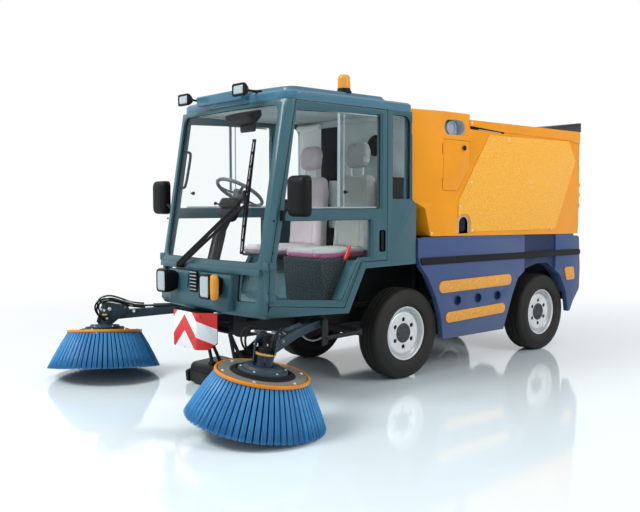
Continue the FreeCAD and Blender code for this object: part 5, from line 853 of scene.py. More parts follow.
# Console enamel: dark blue-green, satin
console_enamel = weathered("console_enamel", "#1B282C", "#3B3A37", 0.5, 4.0, 0.1, 0.5)
sill = -0.7541
console = eased([(sill - 0.080, 0.600), (sill - 0.024, 0.600), (sill + 0.134, 0.8875), (-0.3721, 0.8875),
                 (-0.3721, 0.9095), (sill - 0.110, 0.9095, 0.015)], 4)
pedestal = eased([(-0.600, 0.600, 0.01), (-0.385, 0.600, 0.01), (-0.385, 0.895), (-0.660, 0.895),
                  (-0.610, 0.830, 0.02)], 4)
for place, x, cloth_finish in (("passenger", 0.265, passenger_cloth), ("driver", -0.265, driver_cloth)):
    for part, mesh in (("cushion", cushion_mesh), ("backrest", rest_mesh), ("headrest", head_mesh)):
        own = mesh.copy()
        for vertex in own.vertices:
            vertex.co.x += x
        own.materials.clear()
        own.materials.append(cloth_finish)
        own.shade_smooth()
        pad = place_in_scene(place + "_" + part, own)
        if place == "passenger" and part == "cushion":
            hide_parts("seats")
        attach(pad, "chassis")
    bm = bmesh.new()
    if place == "driver":
        stacked(bm, pedestal, (x - 0.13, 0, 0), rear_way, up_way, right_way, soft(0.26, 0.004))
        stacked(bm, oblong(0.205, 0.010, 0.004), (x, sill - 0.090, 0.899), right_way, up_way, rear_way,
                soft(0.455, 0.004))
    else:
        stacked(bm, console, (x - 0.205, 0, 0), rear_way, up_way, right_way, soft(0.41, 0.004))
    fit(place + "_console", bm, "chassis", [console_enamel])
    bm = bmesh.new()
    for dx in (-0.06, 0.06):
        lathe(bm, eased([(0, 0), (0, 0.007), (0.075, 0.007), (0.075, 0)]), (x + dx, -0.318, 1.495),
              (0, 0.03, 1), 16)
    fit(place + "_headrest_posts", bm, "chassis", [zinc])
# Behind the seats: a felt-covered shelf box, a dark post, a white roller blind and a round speaker
bm = bmesh.new()
stacked(bm, oblong(0.300, 0.185, 0.015), (0.180, -0.262, 1.282), right_way, up_way, rear_way,
        soft(0.080, 0.008))
stacked(bm, oblong(0.293, 0.495, 0.010), (0.193, -0.182, 1.405), right_way, up_way, rear_way,
        soft(0.009, 0.002))
fit("rear_trim_and_shelf", bm, "chassis", [felt])
bm = bmesh.new()
stacked(bm, oblong(0.094, 0.490, 0.012), (-0.196, -0.192, 1.400), right_way, up_way, rear_way,
        soft(0.019, 0.004))
speaker = (0.313, -0.199, 1.722)
lathe(bm, eased([(0, 0), (0, 0.066, 0.004), (-0.010, 0.072, 0.004), (-0.018, 0.080, 0.004),
                 (-0.026, 0.080, 0.003), (-0.026, 0.0)], 3), speaker, front_way, 48)
for ring in range(5):
    start = 0.010 + 0.012 * ring
    lathe(bm, [(0.0002, start), (0.0027, start + 0.002), (0.0027, start + 0.006), (0.0002, start + 0.008)],
          speaker, front_way, 48)
fit("post_and_speaker", bm, "chassis", [black_abs_and_shade])
# Coated polyester blind: white, matt, with a fine rib across
blind, tree = start_material("white_coated_polyester")
here = add(tree, "ShaderNodeTexCoord")
rib = add(tree, "ShaderNodeTexWave", {"Scale": 50.0, "bands_direction": "Z"},
          [("Vector", here.outputs["Object"])])
shade = between(tree, "#F1F4F4", "#FAFBFB", rib.outputs["Fac"])
relief = relief_from(tree, 0.1, 0.0005, rib.outputs["Fac"])
shader = add(tree, "ShaderNodeBsdfPrincipled", {"Roughness": 0.8},
             [("Base Color", shade.outputs["Result"]), ("Normal", relief.outputs[0])])
finish_with(tree, shader)
bm = bmesh.new()
stacked(bm, oblong(0.138, 0.300, 0.006), (-0.430, -0.182, 1.600), right_way, up_way, rear_way,
        soft(0.005, 0.0015))
lathe(bm, eased([(-0.135, 0), (-0.135, 0.022, 0.003), (0.135, 0.022, 0.003), (0.135, 0)], 3),
      (-0.430, -0.200, 1.905), (1, 0, 0), 32)
fit("roller_blind", bm, "chassis", [blind])
# Cover of the seat belt's buckle, in moulded red polypropylene: bright, semi-gloss
red_cover = weathered("moulded_red_polypropylene", "#C4231F", "#8A5A50", 0.4, 2.0, 0.1, 0.2)
bm = bmesh.new()
stacked(bm, oblong(0.012, 0.055, 0.010), (0.490, -0.640, 0.945), (0, 0.90, -0.43), (0, 0.43, 0.90), (1, 0, 0),
        soft(0.020, 0.005))
fit("buckle_cover", bm, "chassis", [red_cover])

# Mirrors: black ABS shells with a domed back and a sunk convex glass, on a jointed steel arm that
# clamps to the door's front edge.
# Silvered mirror glass: bright, sharp, with a faint blue cast and a haze of dust
mirror_glass, tree = start_material("silvered_mirror_glass")
here = add(tree, "ShaderNodeTexCoord")
haze = noise(tree, here, 12.0, 5.0)
gloss = add(tree, "ShaderNodeMapRange", {"To Min": 0.02, "To Max": 0.12}, [("Value", haze.outputs["Fac"])])
shader = add(tree, "ShaderNodeBsdfPrincipled", {"Base Color": colour("#D8E0E6"), "Metallic": 1.0},
             [("Roughness", gloss.outputs[0])])
finish_with(tree, shader)
for side, sign in (("left", 1), ("right", -1)):
    low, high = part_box("mirror_" + side)
    head = Vector((sign * 0.822, low.y, 1.334))
    bm = bmesh.new()
    stacked(bm, oblong(0.087, 0.126, 0.040), head, right_way, up_way, rear_way,
            [(0.0003, 0.050), (0.002, 0.036), (0.006, 0.024), (0.013, 0.013), (0.023, 0.005), (0.036, 0.001),
             (0.048, 0), (0.071, 0.0), (0.074, 0.0015), (0.075, 0.004), (0.074, 0.008), (0.070, 0.0095)], 0,
            (0, 1))
    lathe(bm, eased([(0, 0), (0, 0.012, 0.003), (0.004, 0.012, 0.003), (0.004, 0.006), (0.002, 0.0)], 3),
          head + Vector((-sign * 0.045, 0.0135, 0.0)), (0, -1, 0), 24)
    door_face = sign * 0.6403
    hand_y = low.y + 0.042
    stacked(bm, oblong(0.009, 0.034, 0.004), (door_face + sign * 0.009, hand_y, 1.213), right_way, up_way,
            rear_way, soft(0.030, 0.003))
    elbow = Vector((sign * 0.748, hand_y + 0.002, 1.287))
    lathe(bm, eased([(-0.034, 0), (-0.034, 0.011, 0.003), (-0.028, 0.013), (0.028, 0.013),
                     (0.034, 0.011, 0.003), (0.034, 0)], 3), elbow, (0, 0, 1), 24)
    fit("mirror_shell_" + side, bm, "door_" + side, [black_abs_and_shade, mirror_glass],
        ["mirror_" + side])
    bend = [(sign * 0.652, hand_y + 0.015, 1.205), (sign * 0.662, hand_y + 0.013, 1.222),
            (sign * 0.700, hand_y + 0.006, 1.262), tuple(elbow)]
    line_piece("mirror_arm_" + side, [bend], 0.009, "door_" + side, chassis_enamel, False,
               True)

# The wiper: two pressed steel arms from the spindles on the bar to the blade's saddle, and a slotted
# blade carrier with a rubber lip, all painted black.
# Semi-gloss black powder coat on steel
powder_black = weathered("black_powder_coat", "#0B0C0D", "#2E2D29", 0.4, 1.5, 0.12, 0.3, 0.0, 0.15)
foot = Vector((-0.270, -1.5388, 0.862))
saddle = Vector((0.397, -1.4349, 1.312))
blade_low, blade_high = Vector((0.416, -1.4833, 0.970)), Vector((0.396, -1.3608, 1.700))
out = Vector((0, -1, -0.16)).normalized()
bm = bmesh.new()
lathe(bm, eased([(0, 0), (0, 0.017, 0.003), (0.010, 0.016, 0.003), (0.030, 0.012, 0.004), (0.034, 0.0)], 3),
      foot + Vector((0, 0.024, 0)), (0, -1, 0), 28)
lathe(bm, eased([(0, 0), (0, 0.014, 0.003), (0.010, 0.013, 0.003), (0.028, 0.010, 0.004), (0.030, 0.0)], 3),
      foot + Vector((0.034, 0.022, 0)), (0, -1, 0), 28)
strip(bm, [foot + Vector((-0.012, 0.012, 0)), foot + Vector((0.046, 0.012, 0))], 0.030, 0.012, (0, -1, 0))
main_arm = (foot, saddle + Vector((-0.006, 0, 0.020)), 0.040)
guide_arm = (foot + Vector((0.034, 0, 0)), saddle + Vector((0.006, 0, -0.026)), 0.026)
for start, end, wide in (main_arm, guide_arm):
    way = end - start
    strip(bm, [start, start + way * 0.12, start + way * 0.35, start + way * 0.8, end],
          [wide, wide, wide * 0.80, 0.020, 0.016], 0.009, out)
strip(bm, [saddle + Vector((0.010, 0, -0.060)), saddle, saddle + Vector((-0.010, 0, 0.060))],
      [0.022, 0.036, 0.022], 0.015, out)
span = blade_high - blade_low
bow = Vector((0, -0.010, 0))


def on_blade(share, offset=0.0):
    """Place along the bowed blade, from its low end to its high end."""
    return blade_low + span * share + bow * math.sin(math.pi * share) + Vector((offset, 0, 0))


for offset in (-0.0105, 0.0105):
    rail = [on_blade(share, offset) for share in (0, 0.15, 0.35, 0.5, 0.65, 0.85, 1)]
    strip(bm, rail, [0.005, 0.008, 0.010, 0.011, 0.010, 0.008, 0.005], 0.009, out)
for share in (0.01, 0.12, 0.24, 0.36, 0.46, 0.54, 0.64, 0.76, 0.88, 0.99):
    strip(bm, [on_blade(share, -0.013), on_blade(share, 0.013)], 0.018, 0.008, out)
strip(bm, [saddle + Vector((0, -0.002, 0)), blade_low + span * 0.47], 0.014, 0.012, (1, 0, 0))
fit("wiper_steelwork", bm, "chassis", [powder_black], ["wiper"])
bm = bmesh.new()
strip(bm, [blade_low + Vector((0, 0.009, 0)), blade_high + Vector((0, 0.009, 0))], 0.006, 0.012, out)
fit("wiper_rubber", bm, "chassis", [rubber])

# Lamps: moulded black ABS housings with domed, fluted lenses, an amber indicator on the outer side of
# each headlamp, work lamps at the roof's corners and an amber beacon on a black foot.
# Moulded polycarbonate lens: pale, glossy, with painted highlights as lighter bands on the flutes, which are
# 12 mm apart
lens, tree = start_material("fluted_polycarbonate_lens")
here = add(tree, "ShaderNodeTexCoord")
flute_highlights = add(tree, "ShaderNodeTexWave", {"Scale": 26.0}, [("Vector", here.outputs["Object"])])
fine = noise(tree, here, 90.0, 2.0)
# The lighter flute bands in the colour are painted highlights on the lens
shade = between(tree, "#8E9FA5", "#B4C2C7", flute_highlights.outputs["Fac"])
relief = relief_from(tree, 0.2, 0.001, fine.outputs["Fac"])
shader = add(tree, "ShaderNodeBsdfPrincipled",
             {"Roughness": 0.15, "IOR": 1.58, "Coat Weight": 0.5, "Coat Roughness": 0.02},
             [("Base Color", shade.outputs["Result"]), ("Normal", relief.outputs[0])])
finish_with(tree, shader)
# Amber acrylic: deep orange, glossy, a little uneven
amber = weathered("amber_acrylic", "#E0951F", "#B8843A", 0.18, 6.0, 0.1, 0.3, 0.0, 0.6)

lamp_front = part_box("lamps")[0].y
housings = bmesh.new()
lenses = bmesh.new()
ambers = bmesh.new()
for sign in (1, -1):
    face = Vector((sign * 0.270, lamp_front, 0.760))
    stacked(housings, oblong(0.061, 0.080, 0.030), face, right_way, up_way, rear_way,
            [(0.014, 0.0130), (0.006, 0.0115), (0.002, 0.0080), (0.0, 0.0055), (0.003, 0.0020),
             (0.010, 0.0005), (0.030, 0), (0.060, 0.002), (0.092, 0.010), (0.120, 0.024), (0.165, 0.036),
             (0.200, 0.042), (0.205, 0.048)])
    stacked(housings, oblong(0.022, 0.030, 0.006), face + Vector((-sign * 0.002, 0, -0.004)), right_way,
            up_way, rear_way, [(0.150, 0), (0.237, 0)])
    stacked(lenses, oblong(0.0505, 0.0685, 0.022), face + Vector((0, 0.012, 0)), right_way, up_way, front_way,
            [(0, 0), (0.004, 0.0), (0.008, 0.003), (0.0105, 0.010), (0.0115, 0.022)])
    # Indicator round the outer side of the housing
    wrap = eased([(sign * 0.320, 0.010), (sign * 0.346, 0.011, 0.02), (sign * 0.3605, 0.024, 0.02),
                  (sign * 0.3605, 0.052, 0.02), (sign * 0.344, 0.070, 0.02), (sign * 0.320, 0.072)], 5)
    stacked(ambers, [(x, -y) for x, y in wrap], (0, lamp_front, 0.678), (1, 0, 0), (0, -1, 0), (0, 0, 1),
            [(0, 0.017), (0.004, 0.011), (0.012, 0.006), (0.026, 0.002), (0.045, 0), (0.119, 0),
             (0.138, 0.002), (0.152, 0.006), (0.160, 0.011), (0.164, 0.017)])
    # Work lamp at the roof's corner
    front_y = -1.4461
    work = Vector((sign * 0.333, front_y, 2.015))
    stacked(housings, oblong(0.066, 0.041, 0.016), work, right_way, up_way, rear_way,
            [(0.012, 0.0145), (0.004, 0.0125), (0.0, 0.0080), (0.002, 0.002), (0.006, 0), (0.020, 0.001),
             (0.034, 0.007), (0.050, 0.018), (0.060, 0.026), (0.064, 0.031)])
    stacked(lenses, oblong(0.0520, 0.0275, 0.012), work + Vector((0, 0.010, 0)), right_way, up_way, front_way,
            [(0, 0), (0.003, 0.0), (0.006, 0.002), (0.008, 0.006), (0.009, 0.014)])
    bracket = [work + Vector((-sign * 0.006, 0.055, 0.006)), work + Vector((-sign * 0.006, 0.170, 0.0))]
    strip(housings, bracket, 0.018, 0.014, up_way)
    stacked(housings, oblong(0.016, 0.014, 0.004), (sign * 0.327, -1.268, 2.0085), right_way, rear_way,
            up_way, soft(0.018, 0.002))
beacon_foot = Vector((0.520, -0.560 - 0.1321, 2.0413))
lathe(housings, eased([(0, 0), (0, 0.054, 0.003), (0.012, 0.052, 0.004), (0.016, 0.046, 0.003),
                       (0.028, 0.045, 0.002), (0.030, 0.040), (0.030, 0)], 4), beacon_foot, (0, 0, 1), 64)
ribs = [(0.030, 0.0), (0.030, 0.0445)]
for i in range(9):
    ribs += [(0.034 + i * 0.008, 0.0455 - i * 0.0003), (0.038 + i * 0.008, 0.0443 - i * 0.0003)]
ribs += [(0.108, 0.0405), (0.116, 0.036), (0.122, 0.027), (0.125, 0.014), (0.126, 0.0)]
lathe(ambers, ribs, beacon_foot, (0, 0, 1), 64)
pod_face = -1.5711
# A black plate over the pod's slots, behind the grille: painted shade of the slots
stacked(housings, oblong(0.046, 0.074, 0.010), (-0.010, pod_face - 0.004, 0.772), right_way, up_way, rear_way,
        soft(0.010, 0.003))
fit("lamp_housings", housings, "chassis", [black_abs_and_shade], ["lamps"])
# Louvred air grille between the headlamps
bm = bmesh.new()
for slat in range(6):
    z = 0.715 + slat * 0.023
    strip(bm, [(-0.047, pod_face - 0.0055, z), (0.027, pod_face - 0.0055, z)], 0.007, 0.006, (0, -1, 0.4))
fit("nose_grille", bm, "chassis", [zinc])
fit("lamp_lenses", lenses, "chassis", [lens])
fit("indicators_and_beacon", ambers, "chassis", [amber])

# The hopper: folded steel plate sprayed orange-yellow, with a bonded textured panel on each side, a
# dark ventilation hood on top and a rear door. It hangs on the frame's two lugs.
hopper_enamel = weathered("sprayed_hopper_enamel", "#EE9715", "#B9812F", 0.38, 5.0, 0.05, 0.9, 0.05, 0.2)
# Stucco-embossed sheet: the same colour, paler, with pebbles about 9 mm across
stucco, tree = start_material("stucco_embossed_sheet")
here = add(tree, "ShaderNodeTexCoord")
pebble = add(tree, "ShaderNodeTexVoronoi", {"Scale": 95.0, "Randomness": 1.0},
             [("Vector", here.outputs["Object"])])
fine = noise(tree, here, 110.0, 4.0)
spread = add(tree, "ShaderNodeMapRange", {"From Min": 0.42, "From Max": 0.60},
             [("Value", fine.outputs["Fac"])])
shade = between(tree, "#EFA028", "#FDBE4E", spread.outputs[0])
relief = relief_from(tree, 0.4, 0.002, pebble.outputs["Distance"])
shader = add(tree, "ShaderNodeBsdfPrincipled", {"Roughness": 0.45, "Specular IOR Level": 0.3},
             [("Base Color", shade.outputs["Result"]), ("Normal", relief.outputs[0])])
finish_with(tree, shader)
dark_hood = weathered("dark_hood_moulding", "#23292C", "#55534E", 0.45, 3.0, 0.15, 0.3)
# Pale grey air duct moulding, matt
duct_grey = weathered("grey_duct_moulding", "#A7AFBA", "#8A8E92", 0.5, 3.0, 0.1, 0.3)


def openings_or_skin(middle, normal):
    """Inside the outlet it is grey; inside the strut slot and the round-topped bay the walls are black,
    painted shade in these recesses.
    """
    deep = abs(middle.x) < 0.6485
    if deep and 0.212 < middle.y < 0.460 and 1.800 < middle.z < 1.930:
        return 1
    # Black on the walls of the strut slot and the bay: painted shade in the recesses
    if deep and 0.515 < middle.y < 0.966 and 1.848 < middle.z < 1.892:
        return 2
    if deep and 0.384 < middle.y < 0.525 and 1.055 < middle.z < 1.198 and abs(middle.x) > 0.58:
        return 2
    return 0


pressed("hopper_shell", "hopper", [hopper_enamel, duct_grey, black_abs_and_shade], 2.5,
        openings_or_skin)
pressed("hopper_side_panels", "hopper", [stucco], 1.5)
pressed("hopper_hood", "hopper", [dark_hood], 2.5)
# Round air duct behind each outlet, the pale lip and the rubber pad in the bay, the lid's gas strut
bm = bmesh.new()
rods = bmesh.new()
pads = bmesh.new()
heads = bmesh.new()
for sign in (1, -1):
    aside = (sign, 0, 0)
    lathe(bm, eased([(-0.030, 0.0), (-0.030, 0.056), (0.004, 0.056, 0.003), (0.010, 0.053, 0.003),
                     (0.010, 0.047, 0.002), (-0.004, 0.044, 0.004), (-0.008, 0.0)], 3),
          (sign * 0.598, 0.352, 1.866), aside, 48)
    arch = [(0.453 + 0.060 * math.cos(a), 1.133 + 0.060 * math.sin(a))
            for a in (math.pi * k / 12 for k in range(13))]
    arch = [(0.513, 1.062)] + arch + [(0.393, 1.062)]
    for near, end in zip(arch, arch[1:]):
        strip(bm, [(sign * 0.6475, near[0], near[1]), (sign * 0.6475, end[0], end[1])], 0.013, 0.005, aside)
    stacked(pads, oblong(0.040, 0.058, 0.040), (sign * 0.600, 0.453, 1.126), rear_way, up_way, aside,
            [(0, 0.0), (0.030, 0.0), (0.036, 0.003), (0.039, 0.010), (0.040, 0.020)])
    strut_foot, strut_way = (sign * 0.6405, 0.528, 1.8715), (0, 1, -0.035)
    lathe(rods, eased([(0, 0), (0, 0.009, 0.002), (0.100, 0.009, 0.002), (0.100, 0.0)], 3),
          strut_foot, strut_way, 24, 1)
    lathe(rods, [(0.098, 0), (0.098, 0.005), (0.400, 0.005), (0.400, 0)], strut_foot, strut_way, 16)
    for y, z in ((1.007, 1.807), (0.540, 1.454), (0.409, 1.266), (0.555, 1.078), (1.338, 1.466),
                 (1.768, 1.441), (1.666, 1.071)):
        bolt(heads, (sign * 0.6558, y, z), aside, 0.007)
    bolt(heads, (sign * 0.6495, 0.082, 1.067), aside, 0.007)
    bolt(heads, (sign * 0.6565, 0.536, 1.912), aside, 0.008)
    for z in (1.905, 1.617, 1.342):
        bolt(heads, (sign * 0.594, -0.1118, z), (0, -1, 0), 0.008)
fit("air_ducts_and_bay_lips", bm, "hopper", [duct_grey])
fit("bay_pads", pads, "hopper", [rubber])
fit("lid_struts", rods, "hopper", [zinc, black_abs_and_shade])
fit("hopper_bolts", heads, "hopper", [zinc])

# Service hatch and rear door: folded sheet like the hopper's, each with its own lock. The tail lamps
# are three round lenses in pods at each side.
pressed("service_hatch", "service_hatch", [hopper_enamel], 1.5)
bm = bmesh.new()
lathe(bm, eased([(0, 0), (0, 0.020, 0.003), (0.005, 0.020, 0.003), (0.005, 0.010), (0.003, 0.009),
                 (0.003, 0.0)], 3), (0.6585, 0.445, 1.715), (1, 0, 0), 32)
strip(bm, [(0.6625, 0.445, 1.706), (0.6625, 0.445, 1.724)], 0.005, 0.004, (1, 0, 0))
fit("hatch_lock", bm, "service_hatch", [black_abs_and_shade])
pressed("hopper_door", "hopper_door", [hopper_enamel], 2.5)
pressed("tail_lamps", "hopper", [hopper_enamel], 2.5)
# Red and clear acrylic lenses
red_lens = weathered("red_acrylic", "#A8161A", "#7A3A38", 0.15, 6.0, 0.1, 0.3, 0.0, 0.6)
bm = bmesh.new()
rear_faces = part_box("tail_lamps")[1].y
for sign in (1, -1):
    for z, finish in ((1.457, 0), (1.366, 1), (1.274, 2)):
        lathe(bm, [(-0.020, 0), (-0.020, 0.0272), (0.001, 0.0272), (0.003, 0.024), (0.005, 0.016),
                   (0.006, 0.0)], (sign * 0.588, rear_faces - 0.008, z), (0, 1, 0), 40, finish)
fit("tail_lenses", bm, "hopper", [red_lens, amber, lens])

# The side shells: dark blue mouldings over the frame with a rubber rail, amber strips with a rough
# reflective face, and three round air ports on each side.
blue_moulding = weathered("rotomoulded_blue_polyethylene", "#42547D", "#66665F", 0.40, 4.0, 0.10, 0.6)
# Navy moulding: the bay's own colour, and painted shade on the air ports' rims and hole walls
navy_moulding_and_port_shade = weathered("rotomoulded_navy_polyethylene_and_port_shade", "#1B2C4C", "#484E5A", 0.45, 4.0, 0.10, 0.6)


def bay_or_skin(middle, normal):
    """The sunk bay over the rear wheel is the darker moulding."""
    return 1 if 0.60 < abs(middle.x) < 0.6375 and 1.27 < middle.y < 1.76 and middle.z > 0.70 else 0


shell = pressed("body_shell", "chassis", [blue_moulding, navy_moulding_and_port_shade], 8.0, bay_or_skin)
PORT_STATIONS = (0.3918, 0.6480, 0.9029)
PORT_HEIGHT = 0.541
bm = bmesh.new()
for sign in (1, -1):
    for y in PORT_STATIONS:
        lathe(bm, [(-0.024, 0), (-0.024, 0.028), (-0.010, 0.033), (0.02, 0.036), (0.02, 0)],
              (sign * 0.650, y, PORT_HEIGHT), (sign, 0, 0), 40)
# The hole walls take the navy: painted shade inside the air ports
cut_away(shell, bm, [navy_moulding_and_port_shade])
# Sill rails on the shell's top, up to the hopper's lower edge, with a black rubber cushion
bm = bmesh.new()


def shell_top(y):
    """Height of the shell's sloping top."""
    return 1.0356 - (y + 0.05) * 0.0172


RAIL_INNER, RAIL_HEAD, RAIL_FACE, BAY_FACE = 0.606, 1.0385, 0.6480, 0.6345
BAY_START, BAY_END, SUNK = 1.2735, 1.7505, 0.012
for sign in (1, -1):
    for start, end, outer, finish in ((-0.035, BAY_START, RAIL_FACE, 0), (BAY_START, BAY_END, BAY_FACE, 1),
                                      (BAY_END, 2.040, RAIL_FACE, 0)):
        side = [(start, shell_top(start) - SUNK), (end, shell_top(end) - SUNK), (end, RAIL_HEAD),
                (start, RAIL_HEAD)]
        wide = outer - RAIL_INNER
        stacked(bm, side, (sign * (outer + RAIL_INNER) / 2 - wide / 2, 0, 0), rear_way, up_way, right_way,
                [(0, 0), (wide, 0)], finish)
    stacked(bm, oblong(1.030, 0.0028, 0.001), (sign * 0.625, 1.005, 1.0409), rear_way, up_way, right_way,
            [(-0.012, 0), (0.012, 0)], 2)
fit("sill_rails", bm, "chassis", [blue_moulding, navy_moulding_and_port_shade, rubber])
pressed("belt_moulding", "chassis", [rubber], 3.0)
# Amber reflective strip: rough embossed face, mottled orange
strip_amber = mottled("embossed_amber_strip", "#CF8423", "#EFAE48", (55.0, 5.0, 0.7), {"Roughness": 0.45},
                      (0.3, 0.7), (0.5, 0.0015))


def port_or_strip(middle, normal):
    """The round port rims are navy, painted shade of the air ports; the strips amber."""
    return 1 if any(abs(middle.y - y) < 0.045 and abs(middle.z - PORT_HEIGHT) < 0.045
                    for y in PORT_STATIONS) else 0


markers = pressed("side_markers", "chassis", [strip_amber, navy_moulding_and_port_shade], 2.0, port_or_strip)
bm = bmesh.new()
for sign in (1, -1):
    for y in PORT_STATIONS:
        lathe(bm, [(-0.02, 0), (-0.02, 0.0325), (0.02, 0.0325), (0.02, 0)], (sign * 0.652, y, PORT_HEIGHT),
              (sign, 0, 0), 40)
# The cut walls take the navy: painted shade inside the air ports
cut_away(markers, bm, [navy_moulding_and_port_shade])

# Splash plates of painted sheet, bolted to the frame rails inside the front wheels
bm = bmesh.new()
for sign in (1, -1):
    stacked(bm, oblong(0.300, 0.115, 0.030), (sign * 0.236 - 0.0015, 0.020, 0.675), rear_way, up_way,
            right_way, [(0, 0.001), (0.001, 0), (0.002, 0), (0.003, 0.001)])
    for y in (-0.22, 0.24):
        bolt(bm, (sign * 0.2375, y, 0.585), (sign, 0, 0), 0.007)
fit("splash_plates", bm, "chassis", [chassis_enamel])

# Under the nose: the suction nozzle of welded plate, which hangs on two links from the frame, and the
# folded sheet warning board with its red and white film, bolted below the cab's chin.
pressed("suction_nozzle", "chassis", [chassis_enamel], 2.5)
# Retroreflective film on sheet aluminium: glass-bead sheen, red and white chevrons about 105 mm wide
board, tree = start_material("red_white_reflective_film")
here = add(tree, "ShaderNodeTexCoord")
parts = add(tree, "ShaderNodeSeparateXYZ", {}, [(0, here.outputs["Object"])])
across = maths(tree, "ABSOLUTE", parts.outputs["X"])
wing = maths(tree, "MULTIPLY_ADD", across.outputs[0], 0.54, 0.065)
reach = maths(tree, "MINIMUM", across.outputs[0], wing.outputs[0])
slope = maths(tree, "ADD", reach.outputs[0], parts.outputs["Z"])
shift = maths(tree, "SUBTRACT", slope.outputs[0], 0.503)
band = maths(tree, "PINGPONG", shift.outputs[0], 0.1065)
stripe = maths(tree, "GREATER_THAN", band.outputs[0], 0.0525)
shade = between(tree, "#D8241F", "#E9ECEE", stripe.outputs[0])
cells = add(tree, "ShaderNodeTexVoronoi", {"Scale": 220.0}, [("Vector", here.outputs["Object"])])
relief = relief_from(tree, 0.1, 0.001, cells.outputs["Distance"])
shader = add(tree, "ShaderNodeBsdfPrincipled", {"Roughness": 0.3},
             [("Base Color", shade.outputs["Result"]), ("Normal", relief.outputs[0])])
finish_with(tree, shader)
board_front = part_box("chevron_board")[0].y


def film_or_bracket(middle, normal):
    """The board's face has the film, its back and bracket are painted."""
    return 0 if normal.y < -0.3 and middle.y < board_front + 0.105 and normal.z < 0.5 else 1


pressed("chevron_board", "chassis", [board, chassis_enamel], 1.0, film_or_bracket)

# Brushes on their arms: steel arms in slate paint, a hydraulic motor on each head, and blue drawn
# polypropylene bristles in tufts, held in a steel disc by an orange clamping ring.
arm_enamel = weathered("slate_arm_enamel", "#2C3C47", "#55534E", 0.42, 3.0, 0.15, 0.4)
motor_enamel = weathered("navy_motor_enamel", "#1C2740", "#4A4A4A", 0.35, 3.0, 0.1, 0.3, 0.2)
disc_enamel = weathered("grey_disc_enamel", "#74756E", "#8A877C", 0.5, 4.0, 0.2, 0.4)
ring_orange = weathered("orange_clamping_ring", "#DE820C", "#A8722A", 0.35, 4.0, 0.08, 0.2, 0.1)
# Yellow-passivated steel: gold sheen
passivated = mottled("yellow_passivated_steel", "#B8923C", "#D8BC6A", (40.0, 3.0),
                     {"Metallic": 0.8, "Roughness": 0.35})
# Drawn polypropylene: each bristle its own shade of blue, slightly waxy
bristle, tree = start_material("drawn_polypropylene_bristle")
own = add(tree, "ShaderNodeAttribute", {"attribute_name": "bristle_tone"})
shade = between(tree, "#1F72B2", "#57ACE6", own.outputs["Fac"])
shader = add(tree, "ShaderNodeBsdfPrincipled", {"Roughness": 0.42, "IOR": 1.49},
             [("Base Color", shade.outputs["Result"])])
finish_with(tree, shader)
# Packed bristles inside the skirt, in dark navy well below the bristles' own blue: painted shade among the
# tufts
bristle_core_painted_shade = weathered("packed_bristles_painted_shade", "#12385F", "#2A4A6A", 0.7, 3.0, 0.6, 0.2)

DISC = 0.271
TIP = 0.409
DEPTH = 0.274
CLAMP_INNER = DISC - 0.018
BOLT_CIRCLE = DISC - 0.036
TUFTS = 66
MOTOR_REACH, CAP_FROM = 0.0528, 0.1085
dice = random.Random(11)


def bristles(turn, centre):
    """Tufts of three-sided bristles that flare from the disc to the floor; returns points, faces, tones."""
    points, faces, tones = [], [], []
    for tuft in range(TUFTS):
        for row, count in ((0, 12), (1, 11), (2, 9)):
            for k in range(count):
                share = (k + 0.5 + dice.uniform(-0.2, 0.2)) / count
                root_angle = 2 * math.pi * (tuft + 0.04 + 0.68 * share) / TUFTS
                tip_angle = 2 * math.pi * (tuft + 0.76 * share) / TUFTS
                root_radius = DISC - 0.004 - 0.005 * row
                tip_radius = TIP - 0.002 - 0.008 * row - dice.uniform(0, 0.003)
                tip_depth = -DEPTH + dice.uniform(0.0, 0.004)
                tone = dice.random()
                first = len(points)
                stations = (0.0, 0.33, 0.68, 1.0)
                for t in stations:
                    angle = root_angle + (tip_angle - root_angle) * t
                    radius = root_radius + (tip_radius - root_radius) * (t + 0.16 * t * (1 - t))
                    z = -0.014 + (tip_depth + 0.014) * t
                    size = 0.0014 - 0.0004 * t
                    for corner in range(3):
                        turned = angle + 2 * math.pi * corner / 3
                        spot = Vector((radius * math.cos(angle) + size * math.cos(turned),
                                       radius * math.sin(angle) + size * math.sin(turned), z))
                        points.append(centre + turn @ spot)
                        tones.append(0.15 + 0.7 * tone + 0.15 * t)
                for level in range(3):
                    a = first + 3 * level
                    for corner in range(3):
                        b = (corner + 1) % 3
                        faces.append((a + corner, a + b, a + 3 + b, a + 3 + corner))
                faces.append((first + 2, first + 1, first))
                faces.append((first + 9, first + 10, first + 11))
    return points, faces, tones


